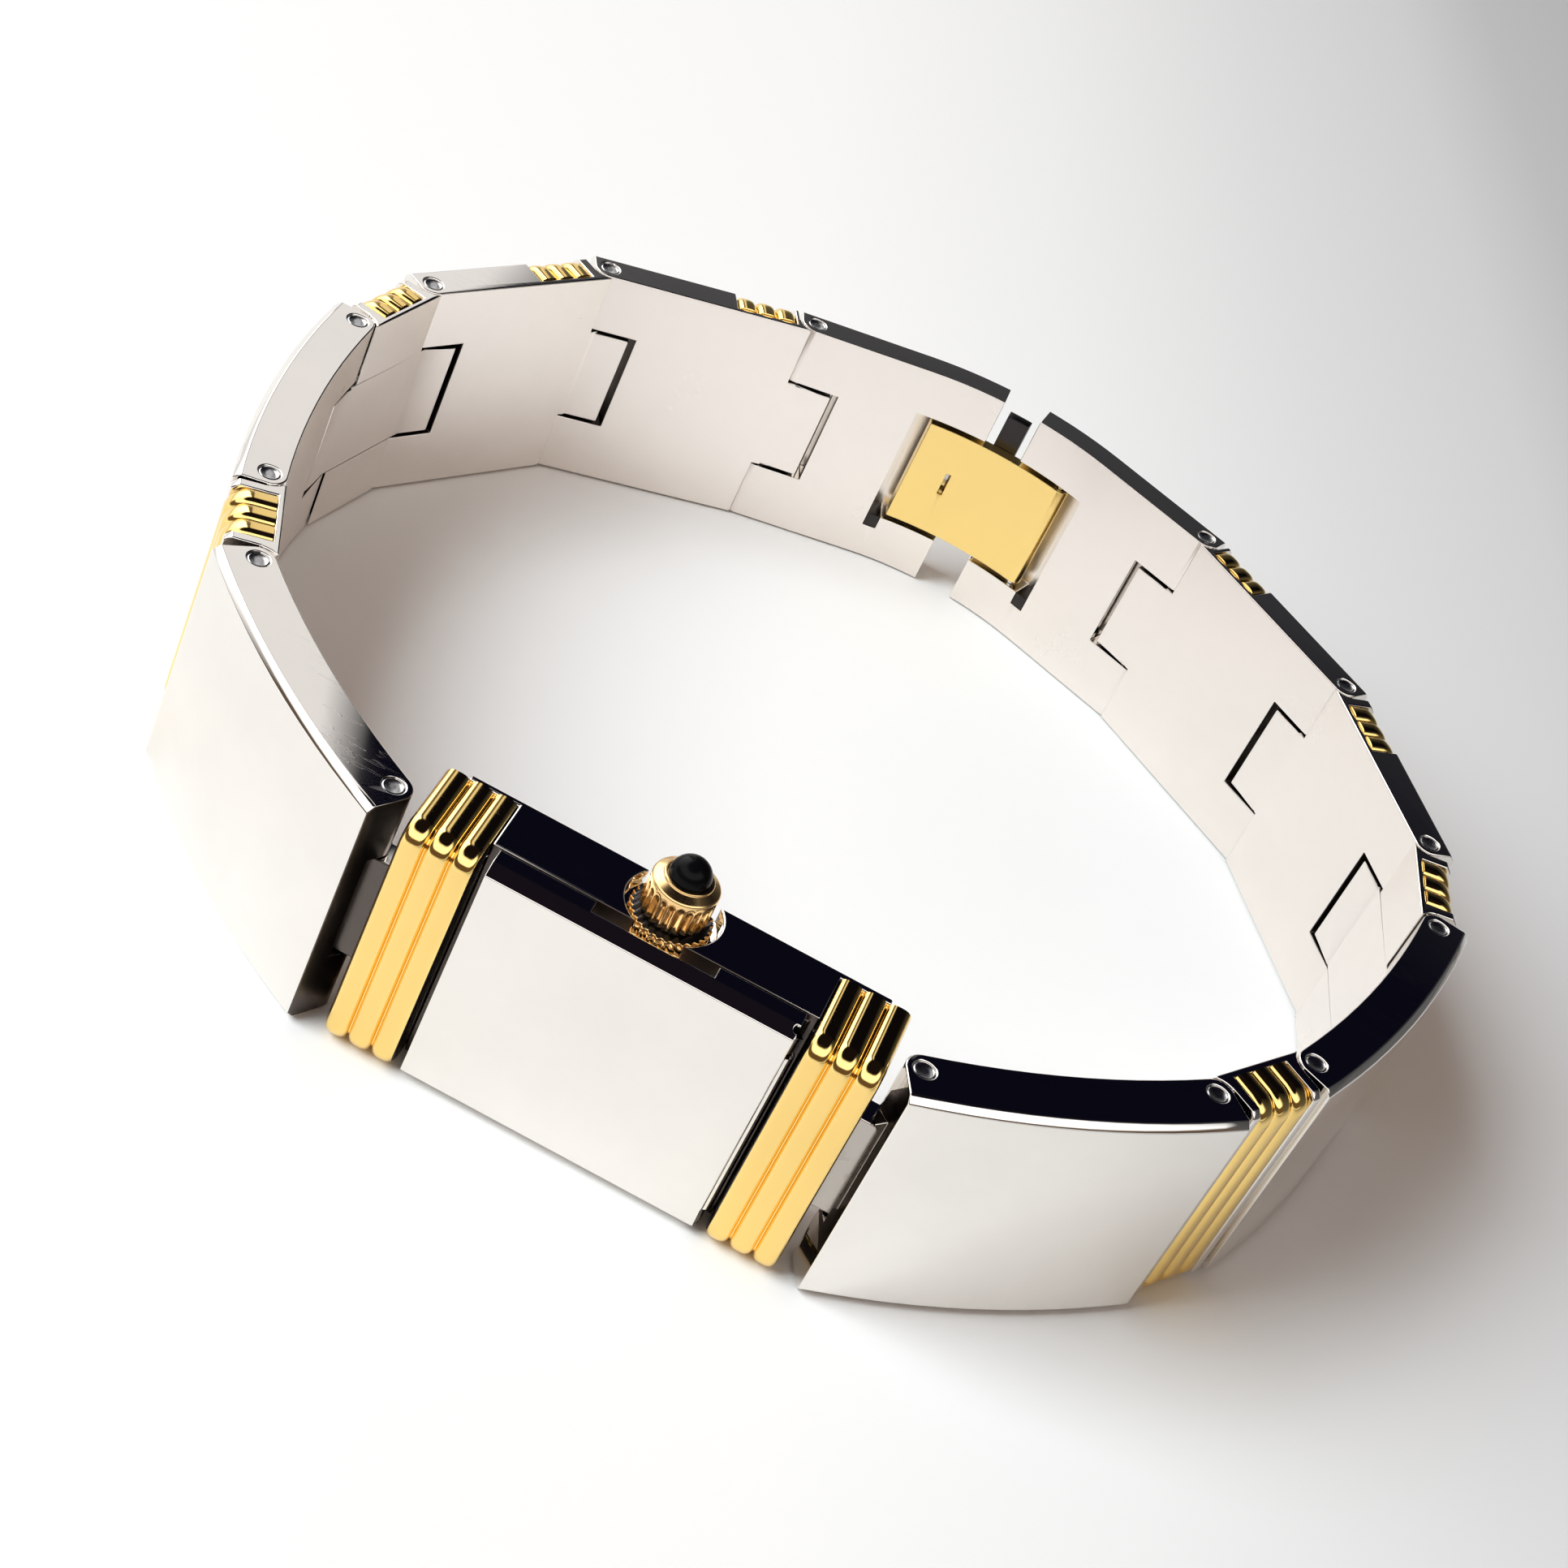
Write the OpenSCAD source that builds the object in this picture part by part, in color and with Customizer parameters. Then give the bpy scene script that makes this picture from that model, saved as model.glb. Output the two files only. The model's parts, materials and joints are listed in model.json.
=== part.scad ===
// Bracelet watch with a hinged steel cover over the dial, two crests of gold ribs on the case,
// a hinged band of steel plates and ribbed bars, and a leaf clasp. Millimetres, Z up.
// X runs along the case, Y from the front (-) to the wrist (+), Z across the band.

/* [Case] */
// Length of the case along the band
case_len = 21.7; // [21.4:0.1:22.2]
// Height of the case over the ribs, across the band
case_h = 12.8; // [12.4:0.1:13.4]
// Thickness of the case from rib tops to back
case_t = 5.0; // [4.9:0.05:5.3]
// Depth of the parting line between cover and body behind the rib tops
parting = 1.75; // [1.7:0.01:1.8]
// Distance of the case pins beyond the case ends
lug_reach = 1.33; // [1.25:0.01:1.5]
// Depth of the case pins behind the rib tops
lug_depth = 2.05; // [1.95:0.05:2.15]

/* [Ribs] */
// Radius of one gold rib
rib_r = 0.56; // [0.54:0.01:0.58]
// Pitch of the gold ribs
rib_pitch = 1.12; // [1.09:0.01:1.15]
// Bend radius of a rib's centre line
rib_bend = 0.6; // [0.59:0.01:0.65]
// Depth of the grooves between ribs
rib_groove = 0.38; // [0.3:0.01:0.42]
// Depth of the steel core below the rib tops
rib_seat = 0.8; // [0.78:0.01:0.85]
// How far the ribs stand proud of the steel
rib_proud = 0.1; // [0.08:0.01:0.14]
// Distance from the rib ends to the inner face
rib_stop = 0.35; // [0.3:0.05:0.5]
// How far the steel core and the floor between ribs stop short of the outermost rib
core_back = 0.15; // [0.12:0.01:0.2]
// Root of a case lug in the steel core
lug_root = 0.5; // [0.4:0.05:0.6]

/* [Band] */
// Pin to pin length of plate 1
p1_len = 14.0; // [13.5:0.1:14.4]
// Pin to pin length of a free ribbed bar
bar_len = 6.4; // [6.2:0.1:6.8]
// Pin to pin length of plate 2
p2_len = 14.5; // [14:0.1:15]
// Pin to pin length of plate 3 with its bar
p3_len = 11.5; // [11:0.1:12.3]
// Pin to pin length of plate 4 with its bar
p4_len = 11.8; // [11:0.1:12.3]
// Thickness of plate 1
p1_t = 2.7; // [2.5:0.05:2.9]
// Thickness of plate 2
p2_t = 2.4; // [2.3:0.05:2.6]
// Thickness of plate 3
p3_t = 2.1; // [2.05:0.05:2.3]
// Thickness of plate 4
p4_t = 2.0; // [1.95:0.05:2.2]
// Thickness of the clasp plates
p5_t = 1.9; // [1.88:0.02:2.1]
// Thickness of the first free bar
g1_t = 2.45; // [2.2:0.05:2.6]
// Thickness of the second free bar
g2_t = 2.05; // [2:0.05:2.2]
// Radius of the arc through the pins of plate 1
p1_arc = 46; // [42:1:60]
// Radius of the arc through the pins of plate 2
p2_arc = 50; // [46:1:60]
// Steel between the gold ribs and the hinged end of plate 3
p3_flank = 0.6; // [0.4:0.05:0.9]
// Steel between the gold ribs and the hinged end of plate 4
p4_flank = 0.25; // [0.22:0.01:0.6]
// Chamfer of the long outer edges
edge = 0.32; // [0.2:0.02:0.4]

/* [Hinges] */
// Distance of the pin centre from the inner face, also the radius of the plate ends
pin_in = 0.85; // [0.82:0.01:0.88]
// Radius of a hinge pin's shaft
pin_r = 0.3; // [0.26:0.01:0.32]
// Radius of a hinge pin's head
head_r = 0.5; // [0.44:0.01:0.54]
// Length of a hinge pin's head
head_len = 0.5; // [0.4:0.05:0.7]
// Depth of the pin heads below the plate sides
head_sink = 0.05; // [0.03:0.01:0.1]
// Width of a tongue
tongue_w = 5.6; // [5:0.1:6]
// Reach of a tongue's flap beyond the pin
tongue_reach = 2.2; // [1.8:0.05:2.4]
// Radius of a tongue's knuckle
knuckle_r = 0.6; // [0.55:0.01:0.62]
// Depth of a tongue's root in the steel of its bar
tongue_root = 0.2; // [0.15:0.01:0.22]

/* [Rest pose] */
// Left chain, turn from the case to plate 1
left_turn_1 = 40; // [38:0.5:41]
// Left chain, turn from plate 1 to bar 1
left_turn_2 = 28; // [27:0.5:29]
// Left chain, turn from bar 1 to plate 2
left_turn_3 = 13; // [12:0.5:14]
// Left chain, turn from plate 2 to bar 2
left_turn_4 = 21.5; // [20.5:0.5:22.5]
// Left chain, turn from bar 2 to plate 3
left_turn_5 = 20.5; // [19.5:0.5:21.5]
// Left chain, turn from plate 3 to plate 4
left_turn_6 = 31.5; // [30.5:0.5:32.5]
// Right chain, turn from the case to plate 1
right_turn_1 = 33; // [32:0.5:34]
// Right chain, turn from plate 1 to bar 1
right_turn_2 = 21; // [20:0.5:22]
// Right chain, turn from bar 1 to plate 2
right_turn_3 = 20; // [19:0.5:21]
// Right chain, turn from plate 2 to bar 2
right_turn_4 = 28.5; // [27.5:0.5:29.5]
// Right chain, turn from bar 2 to plate 3
right_turn_5 = 20.5; // [19.5:0.5:21.5]
// Turn from right plate 4 to the closed pair of clasp plates
closing_turn = 34; // [32:0.5:36]

/* [Clasp] */
// Straight length of a clasp plate from its pin
p5_straight = 6.8; // [6.6:0.1:7.1]
// Radius of the arc through the clasp plates
p5_arc = 16.4; // [15.8:0.1:17]
// Sweep of the arc of one clasp plate up to the middle of the gap
p5_sweep = 19.5; // [19:0.5:21]
// Gap between the clasp plates
clasp_gap = 2.3; // [2.2:0.1:2.6]
// Height of the clasp leaf
leaf_h = 6.5; // [6:0.1:7]
// Thickness of the clasp leaf
leaf_t = 0.8; // [0.7:0.05:0.85]
// Sweep of the leaf from the middle of the gap to its tip
leaf_tip = 15.5; // [14.5:0.5:16]
// Sweep from the middle of the gap to the leaf's hinge
leaf_hinge = 13.5; // [13:0.5:14.5]
// Radius of the leaf's hinge barrel
leaf_barrel_r = 0.5; // [0.46:0.01:0.55]
// Radius of the leaf's hinge pin
leaf_pin_r = 0.2; // [0.18:0.01:0.24]
// Sweep from the middle of the gap to the slot of the leaf
leaf_slot = 7.5; // [7:0.5:8.5]
// Width of the leaf's slot
slot_w = 0.3; // [0.28:0.01:0.4]
// Height of the leaf's slot
slot_h = 1.4; // [1.3:0.1:1.8]
// Thickness of the skin left outside the pockets and windows
skin = 0.42; // [0.36:0.01:0.46]
// Width of the leaf's lift bar in the gap
lift_w = 1.3; // [1.1:0.05:1.4]
// Distance from the top of the lift bar to the top of the band
lift_drop = 1.1; // [0.9:0.1:1.5]
// Sweep from the start of the arc to the clasp window
window_from = 0.5; // [0.4:0.1:0.8]
// Reach of the leaf's pin into the steel beside the window
leaf_pin_end = 1; // [0.6:0.1:1.1]
// Width of the square stops in the corners of the clasp windows
stop_w = 0.8; // [0.6:0.05:0.85]

/* [Cover] */
// Gap between the cover's left end and the ribs
cover_left_gap = 0.4; // [0.3:0.05:0.5]
// Gap between the cover's right end and the ribs
cover_right_gap = 0.53; // [0.5:0.01:0.6]
// Depth of the cover's face behind the rib tops
cover_sink = 0.2; // [0.15:0.01:0.3]
// Width of the front bevel of the cover
bevel_z = 0.4; // [0.3:0.05:0.6]
// Depth of the front bevel of the cover
bevel_y = 0.6; // [0.4:0.05:0.7]
// Width of the finger notch that frees the crown
notch_w = 5.6; // [5.2:0.1:5.8]
// Depth of the cover hinge axis behind the rib tops
cover_axis = 0.65; // [0.63:0.01:0.68]
// Radius of the cover's hinge barrel
barrel_r = 0.42; // [0.38:0.01:0.43]
// Radius of the cover's hinge pin
cover_pin_r = 0.13; // [0.12:0.01:0.15]
// Radius of the hinge ears on the body
ear_r = 0.25; // [0.23:0.01:0.27]
// Width of one hinge ear on the body
ear_w = 1.0; // [0.8:0.1:1.2]
// Distance from the band's edge to the hinge ears
ear_in = 0.4; // [0.3:0.05:0.6]
// Distance of the cover hinge axis from the cover's right end
axis_in = 0.07; // [0.05:0.01:0.1]
// Recess behind the notch that shows the crown's flange
notch_y = 0.92; // [0.85:0.01:1]
// Depth of the hollow in the cover for the dial's rim
hollow_y = 0.75; // [0.7:0.01:0.8]
// Gap round the dial's rim in that hollow
rim_gap = 0.25; // [0.2:0.01:0.3]

/* [Crown] */
// Crown axis, distance from the case middle
crown_x = 0.15; // [0:0.05:0.2]
// Crown axis, distance from mid thickness towards the back
crown_y = 1.1; // [1.05:0.05:1.2]
// Radius of the crown's recess in the case
recess_r = 2.15; // [2.1:0.01:2.25]
// Depth of the crown's recess
recess_deep = 0.8; // [0.7:0.05:0.9]
// Radius of the crown's lower flange
flange_r = 1.85; // [1.75:0.05:1.9]
// Radius of the knurled grip
grip_r = 1.5; // [1.4:0.05:1.55]
// Height of the knurled grip
grip_h = 1.65; // [1.5:0.05:1.8]
// Height of the grooved part of the grip
groove_h = 1.3; // [1.1:0.05:1.4]
// Height of the flange
flange_h = 0.38; // [0.35:0.01:0.42]
// Distance from the flange to the grip
neck_h = 0.2; // [0.16:0.01:0.24]
// Height of the shoulder over the grip
shoulder_h = 0.2; // [0.15:0.05:0.3]
// Reach of the winding stem into the grip
stem_reach = 0.9; // [0.7:0.05:1]
// Height of the collar round the stone
collar_h = 0.12; // [0.1:0.01:0.16]
// Width of the collar round the stone
collar_w = 0.18; // [0.16:0.01:0.22]
// Grooves round the grip
knurls = 24; // [20:1:26]
// Radius of one groove in the grip
groove_r = 0.11; // [0.09:0.01:0.13]
// Teeth round the flange
teeth = 30; // [26:1:32]
// Radius of the round stone in the crown
stone_r = 0.93; // [0.86:0.01:0.96]
// Depth of the stone's seat
stone_seat = 0.5; // [0.4:0.05:0.6]
// Radius of the winding stem
stem_r = 0.3; // [0.26:0.02:0.34]

/* [Dial and movement] */
// Steel between the dial opening and the ribs
dial_side = 3.09; // [2.9:0.01:3.2]
// Height of the dial opening
dial_h = 6.6; // [6.2:0.1:6.8]
// Length of the minute hand
minute_len = 2.85; // [2.4:0.05:2.95]
// Length of the hour hand
hour_len = 1.95; // [1.6:0.05:2.1]
// Thickness of the crystal
crystal_t = 0.5; // [0.4:0.05:0.55]
// Thickness of the case back
back_t = 0.55; // [0.45:0.05:0.6]
// Radius of the battery
battery_r = 2.1; // [1.9:0.05:2.2]
// Radius of a case back screw's shank
screw_r = 0.25; // [0.2:0.01:0.28]
// Radius of a case back screw's head
screw_head_r = 0.45; // [0.4:0.01:0.46]
// Height of a case back screw's head
screw_head_h = 0.26; // [0.22:0.01:0.28]
// Reach of the screws into the case
screw_reach = 0.8; // [0.7:0.05:0.85]
// Width of the slot in a screw's head
screw_slot = 0.12; // [0.1:0.01:0.14]
// Width of the rim round the dial opening
rim_step = 0.9; // [0.85:0.01:0.95]
// Height of the rim over the body
rim_rise = 0.45; // [0.43:0.01:0.46]
// Ledge round the dial opening that carries the crystal
seat_step = 0.5; // [0.45:0.01:0.52]
// Depth of that ledge behind the rim
seat_rise = 0.1; // [0.09:0.01:0.12]
// Thickness of the gaskets
gasket_t = 0.15; // [0.12:0.01:0.18]
// Width of the gasket under the case back
gasket_rim = 0.2; // [0.18:0.01:0.22]
// Depth of the dial behind the body's front
dial_depth = 0.4; // [0.38:0.01:0.42]
// Thickness of the dial
dial_t = 0.2; // [0.16:0.01:0.22]
// Thickness of the hands
hand_t = 0.1; // [0.08:0.01:0.1]
// Radius of the hands' hubs
hub_r = 0.3; // [0.26:0.01:0.32]
// Half width of the hour hand
hour_half = 0.1; // [0.08:0.01:0.12]
// Half width of the minute hand
minute_half = 0.07; // [0.06:0.01:0.09]
// Radius of the minute hand's arbor
arbor_r = 0.14; // [0.12:0.01:0.15]
// Distance from the dial's middle to the outer ends of the hour markers
marker_reach = 3.0; // [2.9:0.05:3.05]
// Length of a short hour marker
marker_len = 0.5; // [0.4:0.05:0.6]
// Length of the four long hour markers
marker_long = 0.75; // [0.65:0.05:0.9]
// Height of the hour markers over the dial
marker_t = 0.07; // [0.06:0.01:0.09]
// Room of the movement beyond the crystal's ledge
room_step = 0.1; // [0.08:0.01:0.12]
// Wall of the movement's plastic ring
ring_t = 0.2; // [0.18:0.01:0.22]
// How far the battery stands out of the movement
cell_proud = 0.4; // [0.35:0.01:0.42]
// Steel between the battery and the movement's end
cell_side = 0.3; // [0.25:0.01:0.35]
// Width of the case back beyond the movement's room at each end
back_side = 1.25; // [1.2:0.01:1.3]
// Height of the case back beyond the movement's room at each side
back_rise = 1.15; // [1.12:0.01:1.18]
// Radius of the crown tube
tube_r = 0.65; // [0.6:0.01:0.68]

/* [Clearances] */
// Gap between the end faces of two links held straight
end_gap = 0.15; // [0.14:0.01:0.2]
// Gap beside a tongue and round a plate end
side_gap = 0.1; // [0.08:0.01:0.14]
// Gap at the end of a tongue's flap
flap_gap = 0.35; // [0.3:0.01:0.4]
// Radial running clearance of a tongue on its pin
run_gap = 0.04; // [0.03:0.01:0.05]
// Radial clearance of a fixed pin in its plate
press_gap = 0.01; // [0.01:0.005:0.02]
// Gap between gold ribs and steel core
core_fit = 0.02; // [0.01:0.01:0.03]
// Gap beside the leaf in its windows
leaf_gap = 0.3; // [0.25:0.05:0.4]
// Gap between cover and body
cover_gap = 0.1; // [0.08:0.01:0.12]
// Gap round small fitted plates such as the crystal and the case back
plate_gap = 0.03; // [0.02:0.01:0.04]
// Gap under the crown's flange
crown_gap = 0.08; // [0.06:0.01:0.1]

/* [Hidden] */
$fn = 48;
over = 1;
far = 40;
eps = 0.01;
spare = 1.6;
rib_n = 3;
case_x = case_len / 2;
front_y = -case_t / 2;
back_y = case_t / 2;
z_mid = case_h / 2;
z_lo = rib_proud;
z_hi = case_h - rib_proud;
band_h = z_hi - z_lo;
rib_zone = (rib_n - 1) * rib_pitch + 2 * rib_r;
rib_mid = case_x - rib_zone / 2;
bend_out = rib_r + rib_bend;
core_end = case_x - core_back;
arm_x = case_x - rib_zone;
pin_x = case_x + lug_reach;
pin_y = front_y + lug_depth;
// pin to middle of the gold ribs on plates 3 and 4
p3_zone = pin_in + end_gap + p3_flank + rib_zone / 2;
p4_zone = pin_in + end_gap + p4_flank + rib_zone / 2;
lip_x = pin_in / 4;
tongue_lo = z_mid - tongue_w / 2;
cheek_lo = tongue_lo - side_gap;
pocket_end = tongue_reach + flap_gap;
pocket_floor = -(knuckle_r + side_gap);
neck_y = 0.9 * knuckle_r;
flap_step = side_gap;
flap_back = side_gap;
root_len = pin_in + end_gap + tongue_root;

// turns, lengths and pins of the two chains; both first turns swing by one angle until the loop closes
p1_half = asin(p1_len / 2 / p1_arc);
p2_half = asin(p2_len / 2 / p2_arc);
pair_len = 2 * (p5_straight * cos(p5_sweep) + p5_arc * sin(p5_sweep));
origin_pin = [pin_x, pin_y];
lens = [p1_len, bar_len, p2_len, bar_len, p3_len, p4_len];
rest_l = [left_turn_1, left_turn_2, left_turn_3, left_turn_4, left_turn_5, left_turn_6];
rest_r = [right_turn_1, right_turn_2, right_turn_3, right_turn_4, right_turn_5];
function swung(t, d) = [for (i = [0 : len(t) - 1]) i == 0 ? t[0] + d : t[i]];
function heading(t, i) = i == 0 ? t[0] : heading(t, i - 1) + t[i];
function pin_at(t, i) = i == 0
    ? origin_pin
    : pin_at(t, i - 1) + lens[i - 1] * [cos(heading(t, i - 1)), sin(heading(t, i - 1))];
function mirrored(p) = [-p[0], p[1]];
function span_at(d) = norm(mirrored(pin_at(swung(rest_l, d), 6)) - pin_at(swung(rest_r, d), 5));
want_span = norm([p4_len + pair_len * cos(closing_turn), pair_len * sin(closing_turn)]);
function swing(lo, hi, n) = n == 0
    ? (lo + hi) / 2
    : span_at((lo + hi) / 2) > want_span ? swing((lo + hi) / 2, hi, n - 1) : swing(lo, (lo + hi) / 2, n - 1);
swing_max = 20;
halvings = 30;
loop_swing = swing(-swing_max, swing_max, halvings);
turns_l = swung(rest_l, loop_swing);
turns_r = swung(rest_r, loop_swing);
function full_turn(a) = a < 0 ? a + 360 : a;
function bearing(a, b) = full_turn(atan2(b[1] - a[1], b[0] - a[0]));
l5 = pin_at(turns_l, 6);
r4 = pin_at(turns_r, 5);
span_dir = (mirrored(l5) - r4) / want_span;
along = (p4_len * p4_len - pair_len * pair_len + want_span * want_span) / (2 * want_span);
aside = sqrt(p4_len * p4_len - along * along);
r5 = r4 + along * span_dir + aside * [span_dir[1], -span_dir[0]];
heads_l = [for (i = [0:5]) heading(turns_l, i), bearing(l5, mirrored(r5)) - p5_sweep];
heads_r = [for (i = [0:4]) heading(turns_r, i), bearing(r4, r5), bearing(r5, mirrored(l5)) - p5_sweep];
pins_l = [for (i = [0:6]) pin_at(turns_l, i)];
pins_r = [for (i = [0:5]) pin_at(turns_r, i), r5];
// angle between the end faces at each pin in the rest pose
half_before = [0, p1_half, 0, p2_half, 0, 0, 0];
half_after = [p1_half, 0, p2_half, 0, 0, 0, 0];
function bends(h) = [for (i = [0:6]) h[i] - (i == 0 ? 0 : h[i - 1]) - half_before[i] - half_after[i]];
bends_l = bends(heads_l);
bends_r = bends(heads_r);
echo(pins_l = pins_l);
echo(pins_r = pins_r);
echo(heads_l = heads_l);
echo(heads_r = heads_r);
echo(bends_l = bends_l);
echo(bends_r = bends_r);
echo(loop_swing = loop_swing);

// clasp radii about the centre of the arc, and half sweeps
leaf_in_r = p5_arc - pin_in;
leaf_out_r = leaf_in_r + leaf_t;
axis_r = leaf_in_r + leaf_barrel_r;
window_r = p5_arc - pin_in + p5_t - skin;
window_lo = z_mid - leaf_h / 2 - leaf_gap;
window_hi = z_mid + leaf_h / 2 + leaf_gap;
function sweep_of(w) = w / p5_arc * 180 / PI;
gap_half = sweep_of(clasp_gap / 2);
lift_half = sweep_of(lift_w / 2);
slot_half = sweep_of(slot_w / 2);
stop_sweep = sweep_of(stop_w);

body_front = front_y + parting;
cover_front = front_y + cover_sink;
cover_back = body_front - cover_gap;
cover_left = -arm_x + cover_left_gap;
cover_right = arm_x - cover_right_gap;
axis_x = cover_right - axis_in;
axis_y = front_y + cover_axis;
ear_lo = z_lo + ear_in;
dial_w = 2 * (arm_x - dial_side);
rim_w = dial_w / 2 + rim_step;
rim_h = dial_h / 2 + rim_step;
rim_front = body_front - rim_rise;
seat_w = dial_w / 2 + seat_step;
seat_h = dial_h / 2 + seat_step;
seat_y = body_front - seat_rise;
crystal_back = seat_y - gasket_t;
web_y = body_front + dial_depth;
room_w = seat_w + room_step;
room_h = seat_h + room_step;
back_front = back_y - back_t;
gasket_w = room_w + gasket_rim;
gasket_h = room_h + gasket_rim;
cover_plate_w = room_w + back_side;
cover_plate_h = room_h + back_rise;
screw_in = screw_head_r + 3 * plate_gap;
screw_x = cover_plate_w - screw_in;
screw_z = cover_plate_h - screw_in;
move_front = web_y + dial_t;
move_back = back_front - cell_proud;
move_w = room_w - ring_t - room_step;
move_h = room_h - ring_t - room_step;
cell_x = -(move_w - cell_side - battery_r);
stem_from = z_mid + battery_r + ring_t;
floor_z = z_hi - recess_deep;
crown_z = floor_z + crown_gap;
grip_z = crown_z + flange_h + neck_h;
shoulder_z = grip_z + grip_h;
collar_z = shoulder_z + shoulder_h;
stone_z = collar_z + collar_h;
collar_r = stone_r + collar_w;
stem_top = grip_z + stem_reach;

// Steel section across the band, chamfered on the outer side; u runs outwards from the inner face.
module section(t) {
    polygon([
        [pin_in, z_lo],
        [pin_in - t + edge, z_lo],
        [pin_in - t, z_lo + edge],
        [pin_in - t, z_hi - edge],
        [pin_in - t + edge, z_hi],
        [pin_in, z_hi]
    ]);
}

// Straight blank from x0 to x1 in a link's own frame.
module straight_blank(x0, x1, t) {
    translate([x0, 0, 0])
        rotate([90, 0, 90])
            linear_extrude(height = x1 - x0)
                section(t);
}

// Section of a turned blank whose pins lie on radius r.
module arc_section(r, t) {
    translate([r, 0])
        mirror([1, 0])
            section(t);
}

// Arched blank that passes both pins and runs past them.
module arc_blank(c, r, t) {
    half = asin(c / 2 / r);
    more = spare / r * 180 / PI;
    translate([c / 2, r * cos(half), 0])
        rotate([0, 0, -90 - half - more])
            rotate_extrude(angle = 2 * (half + more), $fn = 180)
                arc_section(r, t);
}

// What is cut off a plate's end round its pin; the plate lies towards +X.
module end_cut() {
    difference() {
        union() {
            translate([-far, -far, -over])
                cube([far - pin_in, 2 * far, case_h + 2 * over]);
            translate([-far, 0, -over])
                cube([far, far, case_h + 2 * over]);
        }
        translate([0, 0, -2 * over])
            cylinder(r = pin_in, h = case_h + 4 * over);
    }
}

// What is cut off the end of a bar beside a plate's end; the bar lies towards +X.
module lip_cut() {
    translate([0, 0, -over])
        cylinder(r = pin_in + side_gap, h = case_h + 2 * over);
    translate([-far, -far, -over])
        cube([far + pin_in + end_gap, far, case_h + 2 * over]);
}

// Room for a tongue at a plate's end.
module pocket() {
    translate([-spare, pocket_floor, cheek_lo])
        cube([spare + pocket_end, pin_in - pocket_floor + over, tongue_w + 2 * side_gap]);
}

// Stepped bore for a hinge pin.
module pin_bore() {
    deep = head_sink + head_len + press_gap;
    translate([0, 0, -over])
        cylinder(r = pin_r + press_gap, h = case_h + 2 * over);
    translate([0, 0, -over])
        cylinder(r = head_r + press_gap, h = over + z_lo + deep);
    translate([0, 0, z_hi - deep])
        cylinder(r = head_r + press_gap, h = over + deep);
}

// Headed hinge pin.
module hinge_pin() {
    translate([0, 0, z_lo + head_sink])
        cylinder(r = pin_r, h = band_h - 2 * head_sink);
    for (z = [z_lo + head_sink, z_hi - head_sink - head_len])
        translate([0, 0, z])
            cylinder(r = head_r, h = head_len);
}

// Tongue on a bar's end: root towards -X, flap beyond the pin turned by the rest angle.
// Knuckle and flap step in a little at the sides.
module tongue(bend, root) {
    difference() {
        union() {
            translate([-root, -neck_y, tongue_lo])
                cube([root, neck_y + pin_in, tongue_w]);
            translate([0, 0, tongue_lo + flap_step / 2])
                cylinder(r = knuckle_r, h = tongue_w - flap_step);
            rotate([0, 0, bend])
                translate([-flap_back, -neck_y, tongue_lo + flap_step])
                    cube([tongue_reach + flap_back, neck_y + pin_in, tongue_w - 2 * flap_step]);
        }
        translate([0, 0, -over])
            cylinder(r = pin_r + run_gap, h = case_h + 2 * over);
    }
}

// Solid block set back by d from the rib tops of a wrap that is open on its inner side.
module wrap_block(x_mid, w, y_out, y_in, d) {
    translate([x_mid - w / 2, y_out + bend_out, d])
        cube([w, y_in - y_out - bend_out, case_h - 2 * d]);
    translate([x_mid - w / 2, y_out + d, bend_out])
        cube([w, bend_out - d, case_h - 2 * bend_out]);
    for (z = [bend_out, case_h - bend_out])
        translate([x_mid - w / 2, y_out + bend_out, z])
            rotate([0, 90, 0])
                cylinder(r = bend_out - d, h = w);
}

// One rib bent round the two sides and the front.
module rib(y_out, y_in) {
    translate([0, y_out + rib_r, bend_out])
        cylinder(r = rib_r, h = case_h - 2 * bend_out);
    for (side = [0, 1])
        translate([0, 0, side * case_h])
            mirror([0, 0, side]) {
                translate([0, y_out + bend_out, rib_r])
                    rotate([-90, 0, 0])
                        cylinder(r = rib_r, h = y_in - y_out - bend_out);
                translate([0, y_out + bend_out, bend_out])
                    rotate([0, -90, 0])
                        rotate([0, 0, 180])
                            rotate_extrude(angle = 90)
                                translate([rib_bend, 0])
                                    circle(r = rib_r);
            }
}

// Gold wrap of three ribs, hollow over the steel core.
module rib_wrap(x_mid, y_out, y_in) {
    difference() {
        union() {
            wrap_block(x_mid, rib_zone - 2 * core_back, y_out, y_in + over, rib_groove);
            for (i = [0 : rib_n - 1])
                translate([x_mid + (i - (rib_n - 1) / 2) * rib_pitch, 0, 0])
                    rib(y_out, y_in + over);
        }
        wrap_block(x_mid, rib_zone + over, y_out, y_in + 2 * over, rib_seat);
        translate([x_mid - rib_zone, y_in, -over])
            cube([2 * rib_zone, far, case_h + 2 * over]);
    }
}

// Cut that makes room for a gold wrap and leaves the core under it.
module wrap_room(x_mid, t) {
    y_out = pin_in - t - rib_proud;
    y_end = pin_in - rib_stop + core_fit;
    difference() {
        translate([x_mid - rib_zone / 2 - core_fit, y_out - over, -over])
            cube([rib_zone + 2 * core_fit, y_end - y_out + over, case_h + 2 * over]);
        wrap_block(x_mid, rib_zone + over, y_out, y_end + over, rib_seat + core_fit);
    }
}

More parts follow.
